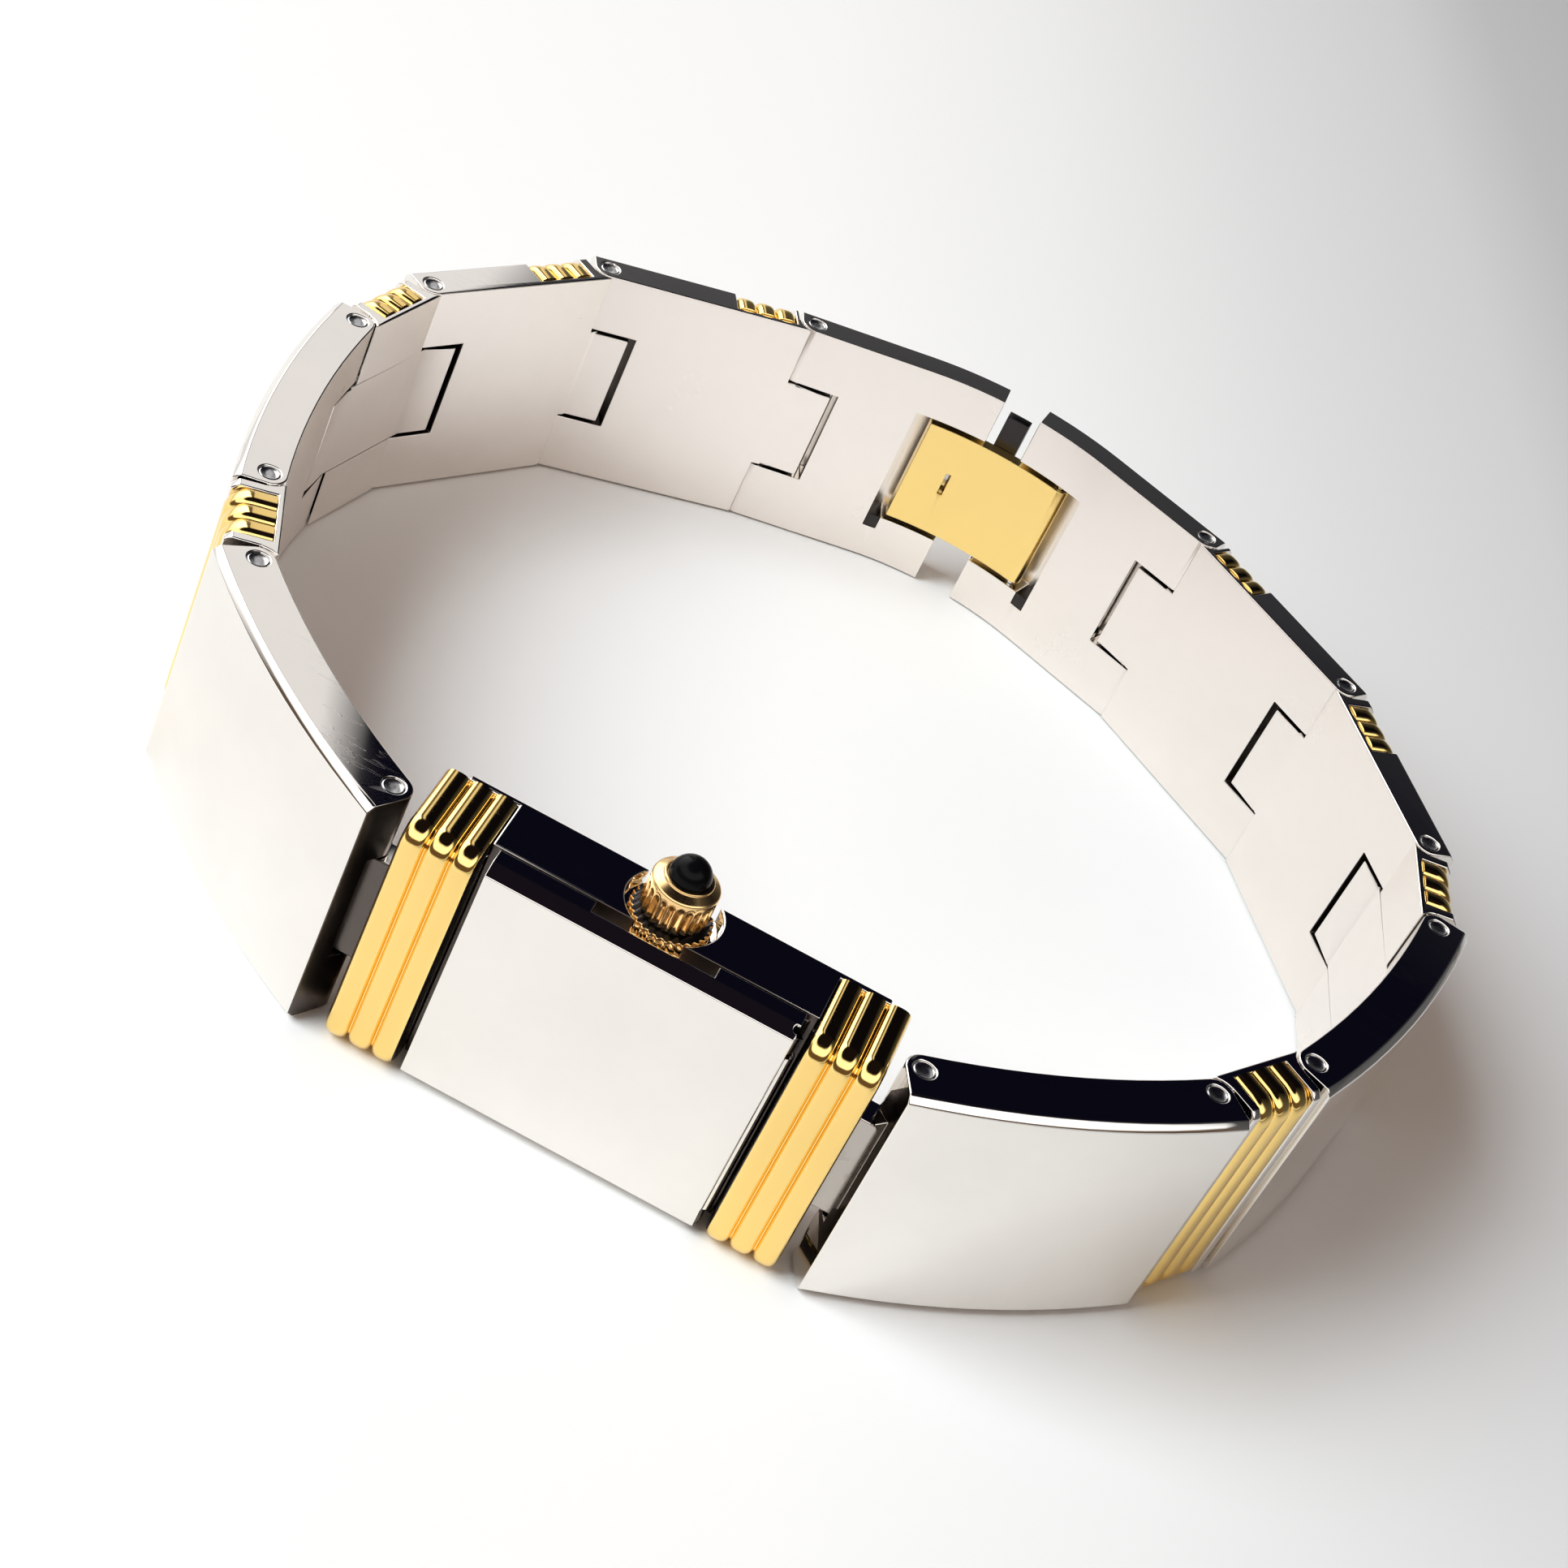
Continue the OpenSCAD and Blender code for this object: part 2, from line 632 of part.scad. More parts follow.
// Plate with a pocket and a pin at both ends.
module twin_plate(c, r, t) {
    half = asin(c / 2 / r);
    difference() {
        arc_blank(c, r, t);
        rotate([0, 0, -half]) {
            end_cut();
            pocket();
        }
        translate([c, 0, 0])
            rotate([0, 0, half])
                mirror([1, 0, 0]) {
                    end_cut();
                    pocket();
                }
        pin_bore();
        translate([c, 0, 0])
            pin_bore();
    }
}

// Free bar with a tongue at both ends.
module free_bar(t, bend_a, bend_b) {
    difference() {
        straight_blank(lip_x, bar_len - lip_x, t);
        lip_cut();
        translate([bar_len, 0, 0])
            mirror([1, 0, 0])
                lip_cut();
        wrap_room(bar_len / 2, t);
    }
    mirror([1, 0, 0])
        tongue(bend_a, root_len);
    translate([bar_len, 0, 0])
        tongue(bend_b, root_len);
}

// Plate with a pocket at the case side and a ribbed bar with a tongue at the clasp side.
module barred_plate(c, t, zone, bend_b) {
    difference() {
        straight_blank(-spare, c - lip_x, t);
        end_cut();
        pocket();
        pin_bore();
        translate([c, 0, 0])
            mirror([1, 0, 0])
                lip_cut();
        wrap_room(c - zone, t);
    }
    translate([c, 0, 0])
        tongue(bend_b, root_len);
}

// Sector about the centre of the clasp arc; sweep angles count from the start of the arc.
module clasp_sector(a0, a1, r0, r1, z0, z1) {
    translate([p5_straight, p5_arc, 0])
        rotate([0, 0, -90 + a0])
            rotate_extrude(angle = a1 - a0, $fn = 180)
                translate([r0, z0])
                    square([r1 - r0, z1 - z0]);
}

// Clasp plate: straight at its pin, arched towards the gap, with a window for the leaf.
module clasp_plate() {
    difference() {
        union() {
            straight_blank(-spare, p5_straight, p5_t);
            translate([p5_straight, p5_arc, 0])
                rotate([0, 0, -90])
                    rotate_extrude(angle = p5_sweep - gap_half, $fn = 180)
                        arc_section(p5_arc, p5_t);
        }
        end_cut();
        pocket();
        pin_bore();
        clasp_sector(window_from, 2 * p5_sweep, leaf_in_r - over, window_r, window_lo, window_hi);
        clasp_sector(window_from, window_from + stop_sweep, leaf_in_r - over, window_r,
            window_lo - stop_w, window_lo + eps);
    }
}

// Square stop in the lower corner of a clasp window.
module window_stop() {
    fit = sweep_of(plate_gap);
    clasp_sector(window_from + fit, window_from + stop_sweep - fit, leaf_in_r + plate_gap, window_r,
        window_lo - stop_w + plate_gap, window_lo);
}

// Frame whose origin is the leaf's hinge axis.
module at_leaf_axis() {
    translate([p5_straight, p5_arc, 0])
        rotate([0, 0, -90 + p5_sweep - leaf_hinge])
            translate([axis_r, 0, 0])
                children();
}

// Places children in the frame of link i of the right or, mirrored, the left chain.
module on_right(i) {
    translate(pins_r[i])
        rotate([0, 0, heads_r[i]])
            children();
}

module on_left(i) {
    mirror([1, 0, 0])
        translate(pins_l[i])
            rotate([0, 0, heads_l[i]])
                children();
}

// Rectangular plate in the XZ plane round the dial's middle.
module slab(w, h, y0, y1) {
    translate([-w, y0, z_mid - h])
        cube([2 * w, y1 - y0, 2 * h]);
}

module rod_y(x, z, r, y0, y1) {
    translate([x, y1, z])
        rotate([90, 0, 0])
            cylinder(r = r, h = y1 - y0);
}

module rod_z(r, z0, z1) {
    translate([crown_x, crown_y, z0])
        cylinder(r = r, h = z1 - z0);
}

module at_screws() {
    for (sx = [-1, 1], sz = [-1, 1])
        translate([sx * screw_x, 0, z_mid + sz * screw_z])
            children();
}

// Steel under the gold ribs of the case's right end.
module case_core() {
    difference() {
        union() {
            wrap_block(rib_mid, 2 * rib_zone, front_y, back_y, rib_seat + core_fit);
            translate([arm_x - over, back_y - rib_stop + core_fit, z_lo])
                cube([rib_zone, rib_stop - core_fit, band_h]);
        }
        translate([-far, -far, -far])
            cube([far + arm_x - eps, 2 * far, 2 * far]);
        translate([core_end, -far, -far])
            cube([far, 2 * far, 2 * far]);
    }
}

module lug(bend) {
    translate([pin_x, pin_y, 0])
        tongue(bend, pin_x - core_end + lug_root);
}

module case_body() {
    color([0.75, 0.75, 0.77])
    difference() {
        union() {
            translate([-arm_x, body_front, z_lo])
                cube([2 * arm_x, back_y - body_front, band_h]);
            for (side = [0, 1])
                mirror([side, 0, 0])
                    case_core();
            lug(bends_r[0]);
            mirror([1, 0, 0])
                lug(bends_l[0]);
            slab(rim_w, rim_h, rim_front, body_front + eps);
            for (z = [ear_lo, case_h - ear_lo - ear_w]) {
                translate([axis_x - ear_r, axis_y, z])
                    cube([2 * ear_r, body_front - axis_y + eps, ear_w]);
                translate([axis_x, axis_y, z])
                    cylinder(r = ear_r, h = ear_w);
            }
        }
        slab(seat_w, seat_h, rim_front - over, seat_y);
        slab(dial_w / 2, dial_h / 2, rim_front - over, web_y + over);
        slab(room_w, room_h, web_y, back_y);
        slab(gasket_w + plate_gap, gasket_h + plate_gap, back_front - gasket_t, back_y);
        slab(cover_plate_w, cover_plate_h, back_front, back_y + over);
        at_screws()
            rod_y(0, 0, screw_r + press_gap, back_front - screw_reach - side_gap, back_y);
        rod_z(recess_r, floor_z, far);
        rod_z(tube_r + press_gap, z_mid, z_hi);
        translate([axis_x, axis_y, -over])
            cylinder(r = cover_pin_r + press_gap, h = case_h + 2 * over);
    }
}

module case_back() {
    color([0.7, 0.7, 0.72])
    difference() {
        slab(cover_plate_w - plate_gap, cover_plate_h - plate_gap, back_front, back_y);
        at_screws() {
            rod_y(0, 0, screw_r + plate_gap, back_front - over, back_y + over);
            rod_y(0, 0, screw_head_r + plate_gap, back_y - run_gap - screw_head_h, back_y + over);
        }
    }
}

module back_screws() {
    color([0.55, 0.56, 0.58])
    at_screws()
        difference() {
            union() {
                rod_y(0, 0, screw_r, back_front - screw_reach, back_y - side_gap);
                rod_y(0, 0, screw_head_r, back_y - run_gap - screw_head_h, back_y - run_gap);
            }
            translate([-over, back_y - run_gap - side_gap, -screw_slot / 2])
                cube([2 * over, over, screw_slot]);
        }
}

module back_gasket() {
    color([0.1, 0.1, 0.1])
    difference() {
        slab(gasket_w, gasket_h, back_front - gasket_t, back_front);
        slab(room_w + plate_gap, room_h + plate_gap, -far, far);
    }
}

module end_ribs_right() {
    color([0.85, 0.65, 0.25])
        rib_wrap(rib_mid, front_y, back_y - rib_stop);
}

module end_ribs_left() {
    color([0.85, 0.65, 0.25])
        rib_wrap(-rib_mid, front_y, back_y - rib_stop);
}

module cover() {
    barrel_lo = ear_lo + ear_w + side_gap;
    color([0.8, 0.8, 0.82])
    difference() {
        union() {
            translate([cover_left, 0, 0])
                rotate([90, 0, 90])
                    linear_extrude(height = cover_right - cover_left)
                        polygon([
                            [cover_back, z_lo],
                            [cover_front + bevel_y, z_lo],
                            [cover_front, z_lo + bevel_z],
                            [cover_front, z_hi - bevel_z],
                            [cover_front + bevel_y, z_hi],
                            [cover_back, z_hi]
                        ]);
            translate([axis_x, axis_y, barrel_lo])
                cylinder(r = barrel_r, h = case_h - 2 * barrel_lo);
        }
        slab(rim_w + rim_gap, rim_h + rim_gap, front_y + hollow_y, back_y);
        translate([crown_x - notch_w / 2, front_y + notch_y, floor_z - gasket_t])
            cube([notch_w, case_t, case_h]);
        for (z = [ear_lo, case_h - ear_lo - ear_w])
            translate([axis_x - ear_r - plate_gap, axis_y - ear_r - plate_gap, z - side_gap])
                cube([far, case_t, ear_w + 2 * side_gap]);
        translate([axis_x, axis_y, -over])
            cylinder(r = cover_pin_r + run_gap, h = case_h + 2 * over);
    }
}

module cover_pin() {
    color([0.6, 0.6, 0.62])
        translate([axis_x, axis_y, ear_lo])
            cylinder(r = cover_pin_r, h = case_h - 2 * ear_lo);
}

module crystal() {
    color([0.8, 0.9, 1.0, 0.5])
        slab(seat_w - plate_gap, seat_h - plate_gap, crystal_back - crystal_t, crystal_back);
}

module crystal_gasket() {
    color([0.9, 0.9, 0.88])
    difference() {
        slab(seat_w - plate_gap, seat_h - plate_gap, crystal_back, seat_y);
        slab(dial_w / 2, dial_h / 2, -far, far);
    }
}

module dial() {
    color([0.93, 0.92, 0.88])
    difference() {
        slab(room_w - plate_gap, room_h - plate_gap, web_y, web_y + dial_t);
        rod_y(0, z_mid, hub_r + side_gap, web_y - over, web_y + over);
    }
}

module hour_markers() {
    color([0.8, 0.62, 0.25])
    for (i = [0:11]) {
        long = i % 3 == 0 ? marker_long : marker_len;
        translate([0, 0, z_mid])
            rotate([0, 30 * i, 0])
                translate([-marker_t, web_y - marker_t, marker_reach - long])
                    cube([2 * marker_t, marker_t, long]);
    }
}

module hour_hand() {
    color([0.75, 0.58, 0.22])
    difference() {
        union() {
            rod_y(0, z_mid, hub_r, web_y - marker_t - 2 * hand_t, web_y + hand_t);
            translate([-hour_half, web_y - marker_t - 2 * hand_t, z_mid])
                cube([2 * hour_half, hand_t, hour_len]);
        }
        rod_y(0, z_mid, arbor_r + run_gap, web_y - over, web_y + over);
    }
}

module minute_hand() {
    hand_y = web_y - marker_t - 4 * hand_t;
    color([0.75, 0.58, 0.22])
    union() {
        rod_y(0, z_mid, hub_r, hand_y, hand_y + hand_t);
        rod_y(0, z_mid, arbor_r, hand_y, web_y + hand_t);
        translate([-minute_half, hand_y, z_mid])
            cube([2 * minute_half, hand_t, minute_len]);
    }
}

module movement() {
    color([0.7, 0.62, 0.4])
    difference() {
        slab(move_w, move_h, move_front, move_back);
        rod_y(0, z_mid, hub_r + run_gap, move_front - over, move_front + side_gap);
        rod_y(cell_x, z_mid, battery_r + plate_gap, move_back - over, move_back + over);
        rod_z(stem_r + run_gap, stem_from - side_gap, z_hi);
    }
}

module movement_ring() {
    color([0.85, 0.85, 0.85])
    difference() {
        slab(room_w - plate_gap, room_h - plate_gap, move_front, back_front - gasket_t);
        slab(move_w + plate_gap, move_h + plate_gap, -far, far);
        rod_z(tube_r + side_gap, z_mid, z_hi);
    }
}

module battery() {
    color([0.8, 0.8, 0.8])
        rod_y(cell_x, z_mid, battery_r, move_back - over, back_front);
}

module crown_tube() {
    color([0.8, 0.65, 0.3])
    difference() {
        rod_z(tube_r, z_mid + room_h, crown_z + flange_h);
        rod_z(stem_r + run_gap, 0, far);
    }
}

module stem() {
    color([0.6, 0.6, 0.62])
        rod_z(stem_r, stem_from, stem_top);
}

// Crown: toothed flange, grooved grip, rounded shoulder and collar.
module crown() {
    color([0.85, 0.65, 0.25])
    difference() {
        union() {
            rod_z(flange_r, crown_z, crown_z + flange_h);
            rod_z(grip_r - collar_w, crown_z, grip_z + eps);
            rod_z(grip_r, grip_z, shoulder_z);
            translate([crown_x, crown_y, shoulder_z])
                cylinder(r1 = grip_r, r2 = collar_r, h = shoulder_h);
            rod_z(collar_r, collar_z - eps, stone_z);
        }
        for (i = [0 : knurls - 1])
            translate([crown_x, crown_y, grip_z - neck_h / 2])
                rotate([0, 0, 360 / knurls * i])
                    translate([grip_r, 0, 0])
                        cylinder(r = groove_r, h = groove_h + neck_h / 2, $fn = 16);
        for (i = [0 : teeth - 1])
            translate([crown_x, crown_y, crown_z - over])
                rotate([0, 0, 360 / teeth * i])
                    translate([flange_r, 0, 0])
                        cylinder(r = groove_r, h = over + flange_h + eps, $fn = 16);
        rod_z(tube_r + collar_w, 0, crown_z + flange_h + side_gap);
        rod_z(stem_r + plate_gap, 0, stem_top + run_gap);
        rod_z(stone_r + plate_gap, stone_z - stone_seat, far);
    }
}

// Stone: short cylinder in the crown under a half round dome.
module crown_stone() {
    color([0.03, 0.03, 0.04])
    translate([crown_x, crown_y, stone_z - stone_seat])
        rotate_extrude()
            intersection() {
                union() {
                    square([stone_r, stone_seat]);
                    translate([0, stone_seat])
                        circle(r = stone_r, $fn = 96);
                }
                square([far, far]);
            }
}

module crown_gasket() {
    color([0.1, 0.1, 0.1])
    difference() {
        rod_z(tube_r + collar_w - plate_gap, crown_z + side_gap, crown_z + flange_h - side_gap);
        rod_z(tube_r + plate_gap, 0, far);
    }
}

module plate_1() {
    color([0.78, 0.78, 0.8])
        twin_plate(p1_len, p1_arc, p1_t);
}

module plate_2() {
    color([0.78, 0.78, 0.8])
        twin_plate(p2_len, p2_arc, p2_t);
}

module pin_pair(c) {
    color([0.6, 0.6, 0.62]) {
        hinge_pin();
        translate([c, 0, 0])
            hinge_pin();
    }
}

module end_pin() {
    color([0.6, 0.6, 0.62])
        hinge_pin();
}

module bar_core(t, bend_a, bend_b) {
    color([0.78, 0.78, 0.8])
        free_bar(t, bend_a, bend_b);
}

module bar_ribs(x_mid, t) {
    color([0.85, 0.65, 0.25])
        rib_wrap(x_mid, pin_in - t - rib_proud, pin_in - rib_stop);
}

module plate_3(bend) {
    color([0.78, 0.78, 0.8])
        barred_plate(p3_len, p3_t, p3_zone, bend);
}

module plate_4(bend) {
    color([0.78, 0.78, 0.8])
        barred_plate(p4_len, p4_t, p4_zone, bend);
}

module plate_l1() {
    on_left(0)
        plate_1();
}

module pins_l1() {
    on_left(0)
        pin_pair(p1_len);
}

module bar_l1() {
    on_left(1)
        bar_core(g1_t, bends_l[1], bends_l[2]);
}

module ribs_l1() {
    on_left(1)
        bar_ribs(bar_len / 2, g1_t);
}

module plate_l2() {
    on_left(2)
        plate_2();
}

module pins_l2() {
    on_left(2)
        pin_pair(p2_len);
}

module bar_l2() {
    on_left(3)
        bar_core(g2_t, bends_l[3], bends_l[4]);
}

module ribs_l2() {
    on_left(3)
        bar_ribs(bar_len / 2, g2_t);
}

module plate_l3() {
    on_left(4)
        plate_3(bends_l[5]);
}

module pin_l3() {
    on_left(4)
        end_pin();
}

module ribs_l3() {
    on_left(4)
        bar_ribs(p3_len - p3_zone, p3_t);
}

module plate_l4() {
    on_left(5)
        plate_4(bends_l[6]);
}

module pin_l4() {
    on_left(5)
        end_pin();
}

module ribs_l4() {
    on_left(5)
        bar_ribs(p4_len - p4_zone, p4_t);
}

module pin_l5() {
    on_left(6)
        end_pin();
}

module stop_l5() {
    on_left(6)
        color([0.08, 0.08, 0.09])
            window_stop();
}

module plate_r1() {
    on_right(0)
        plate_1();
}

module pins_r1() {
    on_right(0)
        pin_pair(p1_len);
}

module bar_r1() {
    on_right(1)
        bar_core(g1_t, bends_r[1], bends_r[2]);
}

module ribs_r1() {
    on_right(1)
        bar_ribs(bar_len / 2, g1_t);
}

module plate_r2() {
    on_right(2)
        plate_2();
}

module pins_r2() {
    on_right(2)
        pin_pair(p2_len);
}

module bar_r2() {
    on_right(3)
        bar_core(g2_t, bends_r[3], bends_r[4]);
}

module ribs_r2() {
    on_right(3)
        bar_ribs(bar_len / 2, g2_t);
}

module plate_r3() {
    on_right(4)
        plate_3(bends_r[5]);
}

module pin_r3() {
    on_right(4)
        end_pin();
}

module ribs_r3() {
    on_right(4)
        bar_ribs(p3_len - p3_zone, p3_t);
}

module plate_r4() {
    on_right(5)
        plate_4(bends_r[6]);
}

module pin_r4() {
    on_right(5)
        end_pin();
}

module ribs_r4() {
    on_right(5)
        bar_ribs(p4_len - p4_zone, p4_t);
}

module pin_r5() {
    on_right(6)
        end_pin();
}

module stop_r5() {
    on_right(6)
        color([0.08, 0.08, 0.09])
            window_stop();
}

module plate_l5() {
    on_left(6)
        color([0.78, 0.78, 0.8])
            clasp_plate();
}

// Peg on the floor of the left window, under the slot of the leaf.
module catch_peg() {
    mid = p5_sweep - leaf_slot;
    half = slot_half - sweep_of(side_gap / 2);
    on_left(6)
        color([0.6, 0.6, 0.62])
            clasp_sector(mid - half, mid + half, leaf_out_r + side_gap, window_r,
                z_mid - slot_h / 2 + side_gap, z_mid + slot_h / 2 - side_gap);
}

module plate_r5() {
    on_right(6)
        color([0.78, 0.78, 0.8])
            difference() {
                clasp_plate();
                at_leaf_axis()
                    translate([0, 0, window_lo - leaf_pin_end - run_gap])
                        cylinder(r = leaf_pin_r + press_gap,
                            h = window_hi - window_lo + 2 * (leaf_pin_end + run_gap));
            }
}

module leaf_pin() {
    on_right(6)
        color([0.6, 0.6, 0.62])
            at_leaf_axis()
                translate([0, 0, window_lo - leaf_pin_end])
                    cylinder(r = leaf_pin_r, h = window_hi - window_lo + 2 * leaf_pin_end);
}

module clasp_leaf() {
    on_right(6)
        color([0.85, 0.65, 0.25])
            difference() {
                union() {
                    clasp_sector(p5_sweep - leaf_hinge, p5_sweep + leaf_tip,
                        leaf_in_r, leaf_out_r, z_mid - leaf_h / 2, z_mid + leaf_h / 2);
                    at_leaf_axis()
                        translate([0, 0, z_mid - leaf_h / 2])
                            cylinder(r = leaf_barrel_r, h = leaf_h);
                }
                at_leaf_axis()
                    cylinder(r = leaf_pin_r + run_gap, h = far);
                clasp_sector(p5_sweep + leaf_slot - slot_half, p5_sweep + leaf_slot + slot_half,
                    leaf_in_r - over, leaf_out_r + over, z_mid - slot_h / 2, z_mid + slot_h / 2);
            }
}

// Bar on the back of the leaf that fills the upper half of the gap between the clasp plates.
module lift_bar() {
    on_right(6)
        color([0.15, 0.14, 0.14])
            clasp_sector(p5_sweep - lift_half, p5_sweep + lift_half,
                leaf_out_r, window_r, z_mid, z_hi - lift_drop);
}

case_body();
case_back();
back_screws();
back_gasket();
end_ribs_left();
end_ribs_right();
cover();
cover_pin();
crystal();
crystal_gasket();
dial();
hour_markers();
hour_hand();
minute_hand();
movement();
movement_ring();
battery();
stem();
crown_tube();
crown();
crown_stone();
crown_gasket();
plate_l1();
pins_l1();
bar_l1();
ribs_l1();
plate_l2();
pins_l2();
bar_l2();
ribs_l2();
plate_l3();
pin_l3();
ribs_l3();
plate_l4();
pin_l4();
ribs_l4();
plate_l5();
pin_l5();
stop_l5();
catch_peg();
plate_r1();
pins_r1();
bar_r1();
ribs_r1();
plate_r2();
pins_r2();
bar_r2();
ribs_r2();
plate_r3();
pin_r3();
ribs_r3();
plate_r4();
pin_r4();
ribs_r4();
plate_r5();
pin_r5();
stop_r5();
leaf_pin();
clasp_leaf();
lift_bar();
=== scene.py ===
import bpy
import bmesh
import json
import math
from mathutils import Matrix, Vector


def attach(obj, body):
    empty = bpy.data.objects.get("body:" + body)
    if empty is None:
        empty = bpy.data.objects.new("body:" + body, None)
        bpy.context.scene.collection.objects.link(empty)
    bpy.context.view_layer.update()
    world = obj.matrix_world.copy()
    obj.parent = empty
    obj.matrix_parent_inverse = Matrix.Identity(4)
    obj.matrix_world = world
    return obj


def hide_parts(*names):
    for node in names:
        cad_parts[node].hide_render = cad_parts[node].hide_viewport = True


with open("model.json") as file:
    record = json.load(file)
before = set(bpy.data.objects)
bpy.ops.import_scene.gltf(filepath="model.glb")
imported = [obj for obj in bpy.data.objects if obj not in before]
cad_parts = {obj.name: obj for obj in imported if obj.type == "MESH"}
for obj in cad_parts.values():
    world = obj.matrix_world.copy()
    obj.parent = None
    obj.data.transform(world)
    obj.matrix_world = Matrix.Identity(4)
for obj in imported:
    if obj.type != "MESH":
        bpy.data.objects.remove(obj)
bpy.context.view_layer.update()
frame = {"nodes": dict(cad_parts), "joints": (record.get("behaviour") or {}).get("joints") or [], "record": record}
print("frame loaded")

# places and sizes are in millimetres, turned to metres when a mesh is made
mm = 0.001


# camera, as solved from the photograph
photoCamera = {"place": (4.78, -93.379, 91.797), "turn": (49.899, -21.293, 18.787), "lens": 69.284,
               "sensor": 36.0, "nearest": 5.0, "farthest": 10000.0}


def addCamera():
    data = bpy.data.cameras.new("photoCamera")
    data.lens = photoCamera["lens"]
    data.sensor_width = photoCamera["sensor"]
    data.clip_start = photoCamera["nearest"] * mm
    data.clip_end = photoCamera["farthest"] * mm
    camera = bpy.data.objects.new("photoCamera", data)
    camera.location = [v * mm for v in photoCamera["place"]]
    camera.rotation_euler = [math.radians(v) for v in photoCamera["turn"]]
    bpy.context.collection.objects.link(camera)
    bpy.context.scene.camera = camera


addCamera()
print("camera placed")


# node helpers for the materials; in_Some_Input sets the input of that name
def addNode(tree, kind, **values):
    node = tree.nodes.new(kind)
    for key, value in values.items():
        if key.startswith("in_"):
            node.inputs[key[3:].replace("_", " ")].default_value = value
        else:
            setattr(node, key, value)
    return node


def addRamp(tree, source, stops):
    ramp = tree.nodes.new("ShaderNodeValToRGB")
    tree.links.new(source, ramp.inputs["Fac"])
    elements = ramp.color_ramp.elements
    while len(elements) < len(stops):
        elements.new(0.5)
    for element, (place, colour) in zip(elements, stops):
        element.position = place
        element.color = (*colour, 1.0)
    return ramp.outputs["Color"]


def newFinish(name):
    finish = bpy.data.materials.new(name)
    finish.use_nodes = True
    tree = finish.node_tree
    where = addNode(tree, "ShaderNodeTexCoord").outputs["Object"]
    return finish, tree, tree.nodes["Principled BSDF"], where


def grey(v):
    return (v, v, v)


def darker(colour, share):
    return tuple(c * share for c in colour)


# polished and brushed metals
# each has cloudy polish, hair scratches that cross in two directions, and on request a brushed lay
metals = {
    "polishedSteel": {"colour": (0.895, 0.86, 0.815), "rough": 0.035, "cloud": 0.012, "scratch": 0.04},
    "satinSteel": {"colour": (0.95, 0.89, 0.84), "rough": 0.30, "cloud": 0.04, "scratch": 0.015,
                   "brush": 0.8, "lay": (1, 1, 0.12)},
    # the next finish is painted shade: a dark steel colour for the shade in link pockets, at the left first
    # plate's end, on the body under the cover and in the cover's notch
    "paintedShadeSteel": {"colour": (0.13, 0.11, 0.10), "rough": 0.30, "cloud": 0.08, "scratch": 0.08,
                  "brush": 0.5},
    # the next finish is painted half shade: a mid grey steel for the shaded body front at the right lug under the
    # cover
    "paintedHalfShadeSteel": {"colour": (0.50, 0.46, 0.42), "rough": 0.26, "cloud": 0.10, "scratch": 0.10,
                  "brush": 0.5},
    # the next finish is dark steel for the clasp stops and lift bar, and painted shade on the crest flanks beside
    # the case and in the crown's gap
    "darkSteelAndPaintedShade": {"colour": (0.05, 0.045, 0.045), "rough": 0.35, "cloud": 0.08, "scratch": 0.05,
                  "brush": 0.5},
    "pinSteel": {"colour": (0.62, 0.62, 0.63), "rough": 0.22, "cloud": 0.06, "scratch": 0.1, "brush": 0.4},
    "polishedGold": {"colour": (1.0, 0.71, 0.25), "rough": 0.08, "cloud": 0.02, "scratch": 0.05},
    "satinGold": {"colour": (1.0, 0.73, 0.27), "rough": 0.22, "cloud": 0.05, "scratch": 0.02,
                  "brush": 0.5, "lay": (1, 1, 0.1)},
    "crownGold": {"colour": (0.95, 0.64, 0.29), "rough": 0.17, "cloud": 0.04, "scratch": 0.05},
    "brassParts": {"colour": (0.72, 0.56, 0.27), "rough": 0.3, "cloud": 0.05, "scratch": 0.05, "brush": 0.4},
}
# what the metals share: each scratch lay has a turn and a pattern size, and in the band noise shows as hairs
metalPattern = {"cloudSize": 160.0, "cloudDetail": 4.0, "cloudRough": 0.6, "cloudTone": 0.95,
                "toneEdges": (0.3, 0.7), "roughEdges": (0.25, 0.75), "leastRough": 0.01,
                "scratchLays": ((0.5, 260.0), (-0.9, 340.0)), "scratchLean": 0.4, "scratchStretch": 9.0,
                "scratchDetail": 3.0, "scratchBand": (0.63, 0.645, 0.66), "scratchRelief": 0.03,
                "brushSize": 900.0, "brushDetail": 3.0, "brushRelief": 0.35, "reliefDepth": 0.01}


def scratchPattern(tree, where, turnBy, size):
    lean = metalPattern["scratchLean"] * turnBy
    turn = addNode(tree, "ShaderNodeMapping", in_Rotation=(turnBy, lean, turnBy),
                   in_Scale=(1.0, metalPattern["scratchStretch"], 1.0))
    tree.links.new(where, turn.inputs["Vector"])
    noise = addNode(tree, "ShaderNodeTexNoise", in_Scale=size, in_Detail=metalPattern["scratchDetail"])
    tree.links.new(turn.outputs["Vector"], noise.inputs["Vector"])
    start, peak, end = metalPattern["scratchBand"]
    stops = [(0.0, grey(0)), (start, grey(0)), (peak, grey(1)), (end, grey(0)), (1.0, grey(0))]
    return addRamp(tree, noise.outputs["Fac"], stops)


